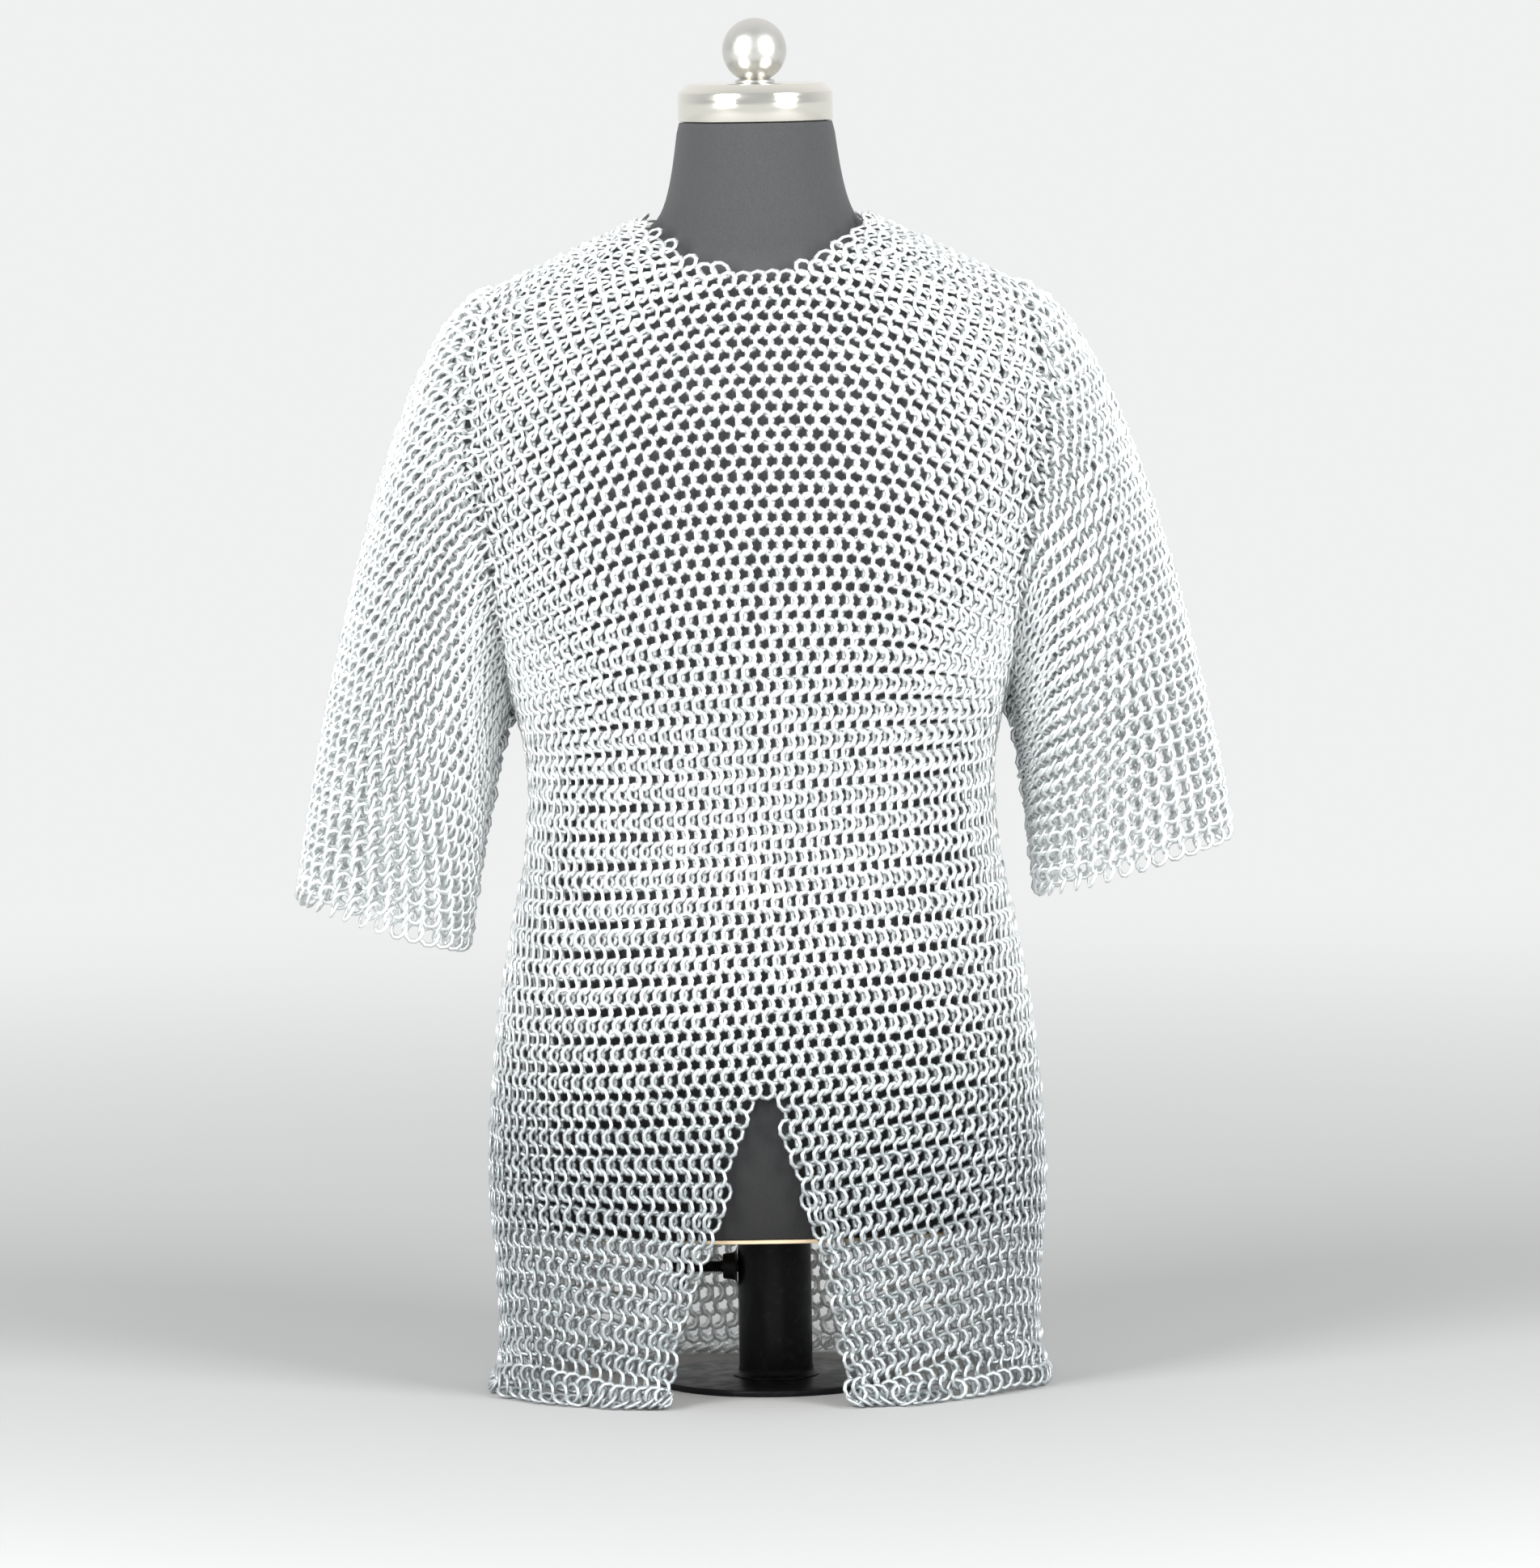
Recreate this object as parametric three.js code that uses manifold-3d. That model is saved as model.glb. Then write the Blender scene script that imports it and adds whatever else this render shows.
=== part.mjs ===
// Chainmail hauberk with half sleeves, worn by a limbless dress form on a pipe stand.
// Millimetres, +Z up. The chest faces -Y, and left and right are the wearer's, so +X is the left.
// The origin is the centre of the base plate's underside, which stands on the same surface as the hem.

import * as THREE from 'three';
import { mergeVertices } from 'three/addons/utils/BufferGeometryUtils.js';
import Module from 'manifold-3d';

const wasm = await Module();
wasm.setup();

// Driving dimensions of the mail

const MAIL_THICK = 6.4;        // two rows of leaning rings lie this thick
const SEAM = 0.4;              // gap between two pieces that meet
const SLEEVE_SEAM = 0.6;       // gap between a sleeve and the armhole's edge
const FORM_CLEAR = 2.4;        // the torso lies this far under the mail of the body
const YOKE_CLEAR = 4.8;        // and this far under the mail of the shoulders, which rests on the ridge
const WAIST = 373;             // seam height between the body and the skirts
const YOKE = 640;              // height where the chest starts to close over the shoulders
const TOP = 730;               // level of the neck and the shoulder ridge, counted on past YOKE
const ARMPIT = 452;            // lowest point of the armholes
const ARMHOLE_SPREAD = 27;     // degrees that an armhole opens to the front and to the back
const ARMHOLE_TOP = 7;         // and that its top lies in from the shoulder tip
const SIDE_LEAN = -3.5;        // the torso hangs this far to the wearer's right of its pipe
const NECK_POINT = 30;         // degrees from the front, or the back, to the side of the neck
const NECKLINE = 36;           // the same to the point where the neckline crosses the shoulder
const NECKLINE_DROP = 17;      // how far the neckline stays below the neck's root

// The torso under the mail, from the floor up: half width, depth to the front and to the back
const TORSO = [
  { z: 0, half: 180, front: 127, back: 124, power: 2.3 },
  { z: 12, half: 174, front: 120, back: 118, power: 2.3 },
  { z: 40, half: 172, front: 117, back: 115, power: 2.3 },
  { z: 75, half: 173, front: 118, back: 116, power: 2.35 },
  { z: 130, half: 177, front: 120, back: 118, power: 2.4 },
  { z: 177, half: 175.5, front: 120, back: 122, power: 2.4 },
  { z: 238, half: 170, front: 118, back: 121, power: 2.4 },
  { z: 295, half: 160.5, front: 113, back: 110, power: 2.35 },
  { z: 338, half: 151.5, front: 108, back: 100, power: 2.3 },
  { z: 375, half: 147, front: 106, back: 97, power: 2.3 },
  { z: 416, half: 147.5, front: 109, back: 99, power: 2.35 },
  { z: 452, half: 155.5, front: 114, back: 104, power: 2.45 },
  { z: 503, half: 171, front: 121, back: 110, power: 2.5 },
  { z: 555, half: 186, front: 123, back: 114, power: 2.5 },
  { z: 600, half: 196, front: 120, back: 116, power: 2.5 },
  { z: 640, half: 199, front: 113, back: 112, power: 2.5 },
];

// The neck's root and the shoulder ridge, where the chest and the back end
const NECK_ROOT = { radius: 68, depth: 66, side: 762, front: 742, back: 768 };
const SHOULDER_TIP = { x: 190, z: 708, clear: 11 };
const RIDGE_SAG = 1.15;
const CHEST_SLOPE = 1.35;      // 1 is a straight slope from the chest to the neck, 2 a quarter round

// The slit of the front skirt: its two edges open towards the floor
const SLIT = [
  { z: 0, right: -64, left: 42 },
  { z: 25, right: -62, left: 41 },
  { z: 50, right: -56, left: 37.5 },
  { z: 75, right: -48.5, left: 33 },
  { z: 110, right: -35, left: 25 },
  { z: 150, right: -23, left: 10.5 },
  { z: 180, right: -14, left: 2.5 },
  { z: 206, right: -3.8, left: -3.2 },
  { z: 240, right: -3.8, left: -3.2 },
  { z: 373, right: -3.8, left: -3.2 },
];

// Folds of the skirts where the hem bears on the floor: turn round the body, width, depth and height
const HEM_FOLDS = [
  { turn: -72, width: 11, depth: 7, top: 46 },
  { turn: -50, width: 9, depth: 5, top: 34 },
  { turn: -30, width: 8, depth: 8, top: 40 },
  { turn: 24, width: 8, depth: 7, top: 36 },
  { turn: 47, width: 10, depth: 4, top: 30 },
  { turn: 70, width: 11, depth: 8, top: 48 },
  { turn: 108, width: 12, depth: 6, top: 38 },
  { turn: 137, width: 10, depth: 8, top: 44 },
  { turn: 166, width: 10, depth: 5, top: 32 },
  { turn: 197, width: 11, depth: 8, top: 42 },
  { turn: 226, width: 9, depth: 5, top: 36 },
  { turn: 251, width: 12, depth: 7, top: 40 },
];

// Cuffs of the sleeves, at the middle of the mail: the outer and the under edge, and half the depth
const SLEEVES = [
  { name: 'right', side: -1, outer: { x: 305, z: 324 }, under: { x: 201, z: 291 }, depth: 52 },
  { name: 'left', side: 1, outer: { x: 301, z: 356 }, under: { x: 180, z: 320 }, depth: 49 },
];
// How a sleeve leaves the armhole over and under the arm: degrees below level, reach, and forward push
const SLEEVE_START = { over: 20, under: 48, overReach: 210, underReach: 75, forward: 0.3 };
// and how it comes to the cuff: degrees out from straight down, and reach
const SLEEVE_END = { over: 8, under: 10, overReach: 180, underReach: 120 };

// Mesh steps
const SIDE_STEPS = 10;         // from the centre front, or back, to a side
const WAIST_STEPS = 4;         // from the waist to the armpit
const ARMHOLE_STEPS = 14;      // from the armpit to the shoulder
const ROW_CROWD = 1.25;        // draws those rows together towards the shoulder
const SKIRT_STEPS = 14;
const SLEEVE_STEPS = 12;
const FORM_TURN = 7.5;         // degrees, so that NECK_POINT is a whole number of them
const YOKE_RINGS = 7;          // of the form, from YOKE to the ridge

// Driving dimensions of the dress form and its stand
const FORM_BOTTOM = 108.3;
const BOARD = { thick: 5, inset: 1 };
const NECK_TOP = 828;
const NECK = [
  { z: 775, radius: 61 },
  { z: 797, radius: 56 },
  { z: NECK_TOP, radius: 52 },
];
const CAP = { radius: 50.5, crown: 43.3, shoulder: 847, top: 852.6 };
const BALL = { radius: 21, centre: 874, footRadius: 13, neckRadius: 9.5, foot: 2 };
const PIPE = { radius: 24.15, bore: 21.2, rod: 20.5, rodFoot: 22 };
const COLLAR = { radius: 28.2, lip: 25.4, height: 5 };
const BASE = { radius: 78, thick: 4, edge: 1.2 };
const TOUCH = 0.3;             // gap between two hard pieces that bear on each other
// The clamp stands out along -X: its boss, its screw, and the eye at the screw's end for the cross bar
const CLAMP = { z: 76, bore: 4.5, drill: 12, spindle: 4, end: 62 };
const CLAMP_BOSS = { flare: 13, radius: 9, rim: 8, weld: 4, end: 34 };
const CLAMP_EYE = { radius: 6, taper: 2, before: 7, beyond: 5 };
const CROSS_BAR = { radius: 3, half: 18 };
const ROUND = 32;

const MAIL = { color: 0xc3ccce, roughness: 0.3, metalness: 1 };
const BLACK_CLOTH = { color: 0x1c1d20, roughness: 0.9, metalness: 0 };
const WOOD = { color: 0xc9ab7c, roughness: 0.7, metalness: 0 };
const NICKEL = { color: 0xcfcbbf, roughness: 0.15, metalness: 1 };
const BLACK_PAINT = { color: 0x0d0d0f, roughness: 0.4, metalness: 0.2 };

// Small helpers

const sin = (degrees) => Math.sin(THREE.MathUtils.degToRad(degrees));
const cos = (degrees) => Math.cos(THREE.MathUtils.degToRad(degrees));
const mix = THREE.MathUtils.lerp;

// One named column of a table at a place along its key, on a smooth curve through its rows
function along(table, key, column, at) {
  const last = table.length - 1;
  let i = 0;
  while (i < last - 1 && at > table[i + 1][key]) i += 1;
  const slope = (k) => {
    const before = table[Math.max(k - 1, 0)];
    const after = table[Math.min(k + 1, last)];
    return (after[column] - before[column]) / (after[key] - before[key]);
  };
  const span = table[i + 1][key] - table[i][key];
  const t = THREE.MathUtils.clamp((at - table[i][key]) / span, 0, 1);
  const ease = t * t * (3 - 2 * t);
  return mix(table[i][column], table[i + 1][column], ease)
    + span * t * (1 - t) * ((1 - t) * slope(i) - t * slope(i + 1));
}

// The torso's surface. turn is 0 at the chest, 90 at the left side and 180 at the back.

// Where the line up the body at this angle ends: on the neck's root or on the shoulder ridge
function topEdge(angle, face) {
  if (angle <= NECK_POINT) {
    const round = 90 * angle / NECK_POINT;
    const end = face < 0 ? NECK_ROOT.front : NECK_ROOT.back;
    return {
      x: NECK_ROOT.radius * sin(round),
      y: face * NECK_ROOT.depth * cos(round),
      z: mix(NECK_ROOT.side, end, cos(round) ** 2),
      lean: 0,
    };
  }
  const out = (angle - NECK_POINT) / (90 - NECK_POINT);
  return {
    x: mix(NECK_ROOT.radius, SHOULDER_TIP.x, out),
    y: 0,
    z: mix(SHOULDER_TIP.z, NECK_ROOT.side, (1 - out) ** RIDGE_SAG),
    lean: out * SIDE_LEAN,
  };
}

function foldOut(turn, z) {
  let out = 0;
  for (const fold of HEM_FOLDS) {
    const away = THREE.MathUtils.euclideanModulo(turn - fold.turn + 180, 360) - 180;
    const fade = Math.max(0, 1 - z / fold.top);
    out += fold.depth * fade * fade * Math.exp(-((away / fold.width) ** 2));
  }
  return out;
}

function torsoPoint(turn, level) {
  const whole = THREE.MathUtils.euclideanModulo(turn + 180, 360) - 180;
  const side = Math.sign(whole);
  const face = Math.abs(whole) > 90 ? 1 : -1;
  const angle = face > 0 ? 180 - Math.abs(whole) : Math.abs(whole);
  const z = Math.min(level, YOKE);
  const power = 2 / along(TORSO, 'z', 'power', z);
  const swell = foldOut(turn, z);
  const half = along(TORSO, 'z', 'half', z) + swell;
  const depth = along(TORSO, 'z', face < 0 ? 'front' : 'back', z) + swell;
  const point = new THREE.Vector3(
    side * half * sin(angle) ** power + SIDE_LEAN,
    face * depth * Math.max(cos(angle), 0) ** power,
    z,
  );
  if (level <= YOKE) return point;
  const top = topEdge(angle, face);
  const climb = Math.min(90, 90 * (level - YOKE) / (TOP - YOKE));
  const bend = 2 / mix(CHEST_SLOPE, 2, Math.min(1, angle / NECK_POINT) ** 2);
  const left = Math.max(cos(climb), 0) ** bend;
  return new THREE.Vector3(
    mix(side * top.x + top.lean, point.x, left),
    mix(top.y, point.y, left),
    mix(YOKE, top.z, sin(climb) ** bend),
  );
}

// The outward direction of the surface, kept level in the skirts so that the wall stands on the floor
function torsoNormal(turn, level) {
  const step = 0.5;
  const at = Math.min(level, TOP - 3);
  const across = torsoPoint(turn + step, at).sub(torsoPoint(turn - step, at));
  const up = torsoPoint(turn, at + step).sub(torsoPoint(turn, at - step));
  const normal = across.cross(up).normalize();
  normal.z *= THREE.MathUtils.smoothstep(level, WAIST, YOKE);
  return normal.normalize();
}

const offTorso = (turn, level, distance) =>
  torsoPoint(turn, level).addScaledVector(torsoNormal(turn, level), distance);

// Half the angle that the body's cloth spans at a level: a quarter turn, less the armhole
function clothTurn(level) {
  const rise = THREE.MathUtils.clamp((level - ARMPIT) / (TOP - ARMPIT), 0, 1);
  return 90 - ARMHOLE_TOP * rise * rise - ARMHOLE_SPREAD * Math.sin(Math.PI * rise) ** 0.8;
}

const topLevel = (across) => {
  const angle = 90 * Math.abs(across);
  return angle < NECKLINE ? TOP - NECKLINE_DROP * cos(90 * angle / NECKLINE) : TOP;
};

// Solids

// A wall over a grid of columns and rows. point gives its inner side for face 0, its outer for 1.
function wallGeometry(columns, rows, closed, point) {
  const wide = closed ? columns : columns + 1;
  const positions = [];
  for (const face of [0, 1]) {
    for (let row = 0; row <= rows; row += 1) {
      for (let column = 0; column < wide; column += 1) positions.push(...point(column, row, face));
    }
  }
  const at = (column, row, face) => (face * (rows + 1) + row) * wide + (column % wide);
  const index = [];
  const quad = (a, b, c, d) => index.push(a, b, c, a, c, d);
  for (let row = 0; row < rows; row += 1) {
    for (let column = 0; column < columns; column += 1) {
      const next = column + 1;
      const outside = [at(column, row, 1), at(next, row, 1), at(next, row + 1, 1), at(column, row + 1, 1)];
      const inside = [at(next, row, 0), at(column, row, 0), at(column, row + 1, 0), at(next, row + 1, 0)];
      if (column < columns / 2) {
        inside.push(inside.shift());
      } else {
        outside.push(outside.shift());
      }
      quad(...outside);
      quad(...inside);
    }
    if (!closed) {
      quad(at(0, row, 0), at(0, row, 1), at(0, row + 1, 1), at(0, row + 1, 0));
      quad(at(columns, row, 1), at(columns, row, 0), at(columns, row + 1, 0), at(columns, row + 1, 1));
    }
  }
  for (let column = 0; column < columns; column += 1) {
    const next = column + 1;
    quad(at(column, 0, 0), at(next, 0, 0), at(next, 0, 1), at(column, 0, 1));
    quad(at(column, rows, 1), at(next, rows, 1), at(next, rows, 0), at(column, rows, 0));
  }
  return meshGeometry(positions, index);
}

function meshGeometry(positions, index) {
  const geometry = new THREE.BufferGeometry();
  geometry.setAttribute('position', new THREE.Float32BufferAttribute(positions, 3));
  geometry.setIndex(index);
  return facingOut(mergeVertices(geometry, 1e-3));
}

// Turns a closed mesh's faces round where they point in
function facingOut(geometry) {
  const p = geometry.attributes.position;
  const corner = (k) => new THREE.Vector3().fromBufferAttribute(p, geometry.index.getX(k));
  let volume = 0;
  for (let k = 0; k < geometry.index.count; k += 3) {
    volume += corner(k).dot(corner(k + 1).cross(corner(k + 2)));
  }
  if (volume < 0) geometry.setIndex(Array.from(geometry.index.array).reverse());
  geometry.computeVertexNormals();
  return geometry;
}

// A closed mesh as a solid that can be cut or joined, and back
function solid(geometry) {
  geometry.deleteAttribute('normal');
  geometry.deleteAttribute('uv');
  const merged = mergeVertices(geometry, 1e-3);
  return new wasm.Manifold(new wasm.Mesh({
    numProp: 3,
    vertProperties: Float32Array.from(merged.attributes.position.array),
    triVerts: Uint32Array.from(merged.index.array),
  }));
}

function solidGeometry(made) {
  const { vertProperties, triVerts } = made.getMesh();
  return meshGeometry(vertProperties, Array.from(triVerts));
}

function named(name, geometry, finish) {
  const mesh = new THREE.Mesh(geometry, new THREE.MeshStandardMaterial(finish));
  mesh.name = name;
  return mesh;
}

// Body: front and back from the waist to the neckline and the shoulder ridge

const bodyRows = WAIST_STEPS + ARMHOLE_STEPS;
const bodyLevel = (across, row) => (row <= WAIST_STEPS
  ? mix(WAIST + SEAM / 2, ARMPIT, row / WAIST_STEPS)
  : mix(ARMPIT, topLevel(across), 1 - (1 - (row - WAIST_STEPS) / ARMHOLE_STEPS) ** ROW_CROWD));

function bodyEdge(across, row, face, thickness) {
  const level = bodyLevel(across, row);
  const angle = across * clothTurn(level);
  const point = offTorso(face < 0 ? angle : 180 - angle, level, thickness);
  point.y = face * Math.max(face * point.y, SEAM / 2);
  return point;
}

function bodyPanel(name, face) {
  const columns = 2 * SIDE_STEPS;
  const geometry = wallGeometry(columns, bodyRows, false, (column, row, outer) => {
    const across = column / SIDE_STEPS - 1;
    return bodyEdge(across, row, face, outer * MAIL_THICK);
  });
  return named(name, geometry, MAIL);
}

// Skirts: from the floor to the waist, the front in two halves with the slit between them

function skirtPoint(turn, z, outer) {
  const point = offTorso(turn, z, outer * MAIL_THICK);
  point.z = z;
  return point;
}

// The turn at which a level's section reaches this X on the front
function turnAt(x, z) {
  const half = along(TORSO, 'z', 'half', z);
  const share = Math.min(1, Math.abs(x - SIDE_LEAN) / half);
  const power = along(TORSO, 'z', 'power', z);
  return Math.sign(x - SIDE_LEAN) * THREE.MathUtils.radToDeg(Math.asin(share ** (power / 2)));
}

function skirtPanel(name, fromTurn, toTurn, face, columns) {
  const geometry = wallGeometry(columns, SKIRT_STEPS, false, (column, row, outer) => {
    const z = (WAIST - SEAM / 2) * (row / SKIRT_STEPS) ** 1.25;
    const turn = mix(fromTurn(z), toTurn(z), column / columns);
    const point = skirtPoint(turn, z, outer);
    point.y = face * Math.max(face * point.y, SEAM / 2);
    return point;
  });
  return named(name, geometry, MAIL);
}

// Above the slit both halves end at the centre, with the seam's gap between them
const slitTurn = (edge) => (z) => {
  const outwards = edge === 'right' ? Math.min : Math.max;
  return turnAt(outwards(along(SLIT, 'z', edge, z), SLIT.at(-1)[edge]), z);
};

// Sleeves: from the armhole's edge round the shoulder and down to the cuff

// The body's edge at a step round the armhole, from the shoulder down the front and up the back
function bodyRim(side, step, outer) {
  const around = 2 * ARMHOLE_STEPS;
  const here = (step + around) % around;
  const face = here <= ARMHOLE_STEPS ? -1 : 1;
  const down = face < 0 ? here : around - here;
  const rim = bodyEdge(side, bodyRows - down, face, outer * MAIL_THICK);
  if (down === 0 || down === ARMHOLE_STEPS) rim.y = 0;
  return rim;
}

// The sleeve's first edge, a seam's gap away from the body's
function armholeEdge(side, step, outer) {
  const normal = bodyRim(side, step, 1).sub(bodyRim(side, step, 0)).normalize();
  const away = bodyRim(side, step + 1, 0).sub(bodyRim(side, step - 1, 0)).cross(normal).normalize();
  const edge = bodyRim(side, step, outer).addScaledVector(away, -side * SLEEVE_SEAM);
  edge.x += side * outer * SEAM;
  return edge;
}

function sleeveMiddle(sleeve, step, length) {
  const { side, outer, under } = sleeve;
  const start = armholeEdge(side, step, 0).add(armholeEdge(side, step, 1)).multiplyScalar(0.5);
  const angle = 180 * step / ARMHOLE_STEPS;
  const below = (1 - cos(angle)) / 2;
  const slope = mix(SLEEVE_START.over, SLEEVE_START.under, below);
  const leave = new THREE.Vector3(side * cos(slope), -SLEEVE_START.forward * sin(angle), -sin(slope))
    .normalize().multiplyScalar(mix(SLEEVE_START.overReach, SLEEVE_START.underReach, below));
  const wide = new THREE.Vector3(side * (outer.x - under.x), 0, outer.z - under.z).multiplyScalar(0.5);
  const splay = mix(SLEEVE_END.over, SLEEVE_END.under, below);
  const arrive = new THREE.Vector3(side * sin(splay), 0, -cos(splay))
    .multiplyScalar(mix(SLEEVE_END.overReach, SLEEVE_END.underReach, below));
  const end = new THREE.Vector3(side * (outer.x + under.x) / 2, -sleeve.depth * sin(angle),
    (outer.z + under.z) / 2).addScaledVector(wide, cos(angle));
  const t = length;
  return start.multiplyScalar((1 + 2 * t) * (1 - t) ** 2)
    .addScaledVector(leave, t * (1 - t) ** 2)
    .addScaledVector(end, t * t * (3 - 2 * t))
    .addScaledVector(arrive, -t * t * (1 - t));
}

function sleeveNormal(sleeve, step, length) {
  const around = 2 * ARMHOLE_STEPS;
  const nudge = 0.02;
  const back = sleeveMiddle(sleeve, (step + around - 1) % around, length);
  const ahead = sleeveMiddle(sleeve, (step + 1) % around, length);
  const from = sleeveMiddle(sleeve, step, Math.max(length - nudge, 0));
  const to = sleeveMiddle(sleeve, step, Math.min(length + nudge, 1));
  return ahead.sub(back).cross(to.sub(from)).normalize().multiplyScalar(sleeve.side);
}

function sleeveTube(sleeve) {
  const around = 2 * ARMHOLE_STEPS;
  const geometry = wallGeometry(around, SLEEVE_STEPS, true, (column, row, outer) => {
    const step = sleeve.side < 0 ? column : (around - column) % around;
    if (row === 0) return armholeEdge(sleeve.side, step, outer);
    const length = row / SLEEVE_STEPS;
    const offset = (outer - 0.5) * MAIL_THICK;
    return sleeveMiddle(sleeve, step, length)
      .addScaledVector(sleeveNormal(sleeve, step, length), offset);
  });
  return named(`mail_sleeve_${sleeve.name}`, geometry, MAIL);
}

// Dress form: the torso and its neck in one solid, and the board that closes its underside

function formTorso() {
  const positions = [];
  const index = [];
  const put = (point) => positions.push(point.x, point.y, point.z) / 3 - 1;
  const levels = [FORM_BOTTOM, ...TORSO.map((row) => row.z).filter((z) => z > FORM_BOTTOM + 10)];
  for (let k = 1; k <= YOKE_RINGS; k += 1) levels.push(mix(YOKE, TOP, k / YOKE_RINGS));
  const turns = [];
  for (let turn = -180; turn < 180; turn += FORM_TURN) turns.push(turn);
  const rings = levels.map((level) => turns.map((turn) => {
    const yokeClear = Math.abs(turn) === 90 ? SHOULDER_TIP.clear : YOKE_CLEAR;
    if (level < TOP) return put(offTorso(turn, level, level > YOKE ? -yokeClear : -FORM_CLEAR));
    const ridge = torsoPoint(turn, level);
    ridge.z -= Math.abs(turn) === 90 ? SHOULDER_TIP.clear : SEAM;
    return put(ridge);
  }));
  const strip = (low, high) => low.forEach((a, k) => {
    const next = (k + 1) % low.length;
    index.push(a, low[next], high[next], a, high[next], high[k]);
  });
  const lid = (ring, z, up) => {
    const centre = put(new THREE.Vector3(0, 0, z));
    ring.forEach((a, k) => {
      const b = ring[(k + 1) % ring.length];
      index.push(...(up ? [a, b, centre] : [b, a, centre]));
    });
  };
  for (let k = 1; k < rings.length; k += 1) strip(rings[k - 1], rings[k]);
  const atNeck = (turn) => Math.abs(turn) <= NECK_POINT || Math.abs(turn) > 180 - NECK_POINT;
  const root = turns.map((turn, k) => (atNeck(turn) ? rings.at(-1)[k] : -1)).filter((k) => k >= 0);
  let ring = root;
  for (const { z, radius } of NECK) {
    const next = root.map((k) => {
      const flat = new THREE.Vector2(positions[3 * k] / NECK_ROOT.radius,
        positions[3 * k + 1] / NECK_ROOT.depth).setLength(radius);
      return put(new THREE.Vector3(flat.x, flat.y, z));
    });
    strip(ring, next);
    ring = next;
  }
  lid(ring, NECK_TOP, true);
  lid(rings[0], FORM_BOTTOM, false);
  return named('form_torso', meshGeometry(positions, index), BLACK_CLOTH);
}

function formBoard() {
  const outline = [];
  for (let turn = 0; turn < 360; turn += FORM_TURN) {
    const point = offTorso(turn, FORM_BOTTOM, -FORM_CLEAR - BOARD.inset);
    outline.push(new THREE.Vector2(point.x, point.y));
  }
  const geometry = new THREE.ExtrudeGeometry(new THREE.Shape(outline),
    { depth: BOARD.thick, bevelEnabled: false });
  geometry.translate(0, 0, FORM_BOTTOM - TOUCH - BOARD.thick);
  return named('form_board', geometry, WOOD);
}

// Turned pieces: a profile of [radius, height] spun about the vertical

function turned(profile, segments = ROUND) {
  const points = profile.map(([radius, z]) => new THREE.Vector2(radius, z));
  const geometry = new THREE.LatheGeometry(points, segments);
  geometry.rotateX(Math.PI / 2);
  geometry.deleteAttribute('normal');
  geometry.deleteAttribute('uv');
  return facingOut(mergeVertices(geometry, 1e-3));
}

function neckCap() {
  const { radius, crown, shoulder, top } = CAP;
  const foot = NECK_TOP + TOUCH;
  const profile = [[0, foot], [radius, foot], [radius, shoulder]];
  for (let k = 1; k <= 4; k += 1) {
    const turn = 90 * k / 4;
    profile.push([crown + (radius - crown) * cos(turn), shoulder + (top - shoulder) * sin(turn)]);
  }
  profile.push([0, top]);
  return named('neck_cap', turned(profile), NICKEL);
}

function finialBall() {
  const { radius, centre, footRadius, neckRadius, foot } = BALL;
  const bottom = CAP.top + TOUCH;
  const profile = [[0, bottom], [footRadius, bottom], [neckRadius, bottom + foot]];
  const first = Math.ceil(THREE.MathUtils.radToDeg(Math.asin(neckRadius / radius))) + 6;
  for (let k = 0; k <= 10; k += 1) {
    const turn = mix(first, 180, k / 10);
    profile.push([Math.max(radius * sin(turn), 0), centre - radius * cos(turn)]);
  }
  profile[profile.length - 1][0] = 0;
  return named('finial_ball', turned(profile, 28), NICKEL);
}

function standBase() {
  const { radius, thick, edge } = BASE;
  const profile = [[0, 0], [radius - edge, 0], [radius, edge], [radius, thick - edge],
    [radius - edge, thick], [0, thick]];
  return named('stand_base', turned(profile, 48), BLACK_PAINT);
}

function standCollar() {
  const foot = BASE.thick + TOUCH;
  const inner = PIPE.radius + 0.5;
  const profile = [[inner, foot], [COLLAR.radius, foot], [COLLAR.lip, foot + COLLAR.height],
    [inner, foot + COLLAR.height], [inner, foot]];
  return named('stand_collar', turned(profile), BLACK_PAINT);
}

const poleTop = FORM_BOTTOM - BOARD.thick - 2 * TOUCH;

// The pipe, with a hole for the clamp's spindle
function standPole() {
  const foot = BASE.thick + TOUCH;
  const pipe = turned([[PIPE.bore, foot], [PIPE.radius, foot], [PIPE.radius, poleTop],
    [PIPE.bore, poleTop], [PIPE.bore, foot]]);
  const drill = new THREE.CylinderGeometry(CLAMP.bore, CLAMP.bore, CLAMP.drill, 16);
  drill.rotateZ(Math.PI / 2);
  drill.translate(-PIPE.radius, 0, CLAMP.z);
  return named('stand_pole', solidGeometry(solid(pipe).subtract(solid(drill))), BLACK_PAINT);
}

// The form's own rod, which slides in the pipe and is held there by the clamp
function formRod() {
  const profile = [[0, PIPE.rodFoot], [PIPE.rod, PIPE.rodFoot], [PIPE.rod, poleTop], [0, poleTop]];
  return named('form_rod', turned(profile), BLACK_PAINT);
}

function towardRight(geometry) {
  geometry.rotateY(-Math.PI / 2);
  geometry.translate(0, 0, CLAMP.z);
  return geometry;
}

function clampBoss() {
  const { flare, radius, rim, weld, end } = CLAMP_BOSS;
  const start = PIPE.radius + TOUCH;
  const profile = [[CLAMP.bore, start], [flare, start], [radius, start + weld],
    [rim, end], [CLAMP.bore, end], [CLAMP.bore, start]];
  return named('clamp_boss', towardRight(turned(profile, 24)), BLACK_PAINT);
}

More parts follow.
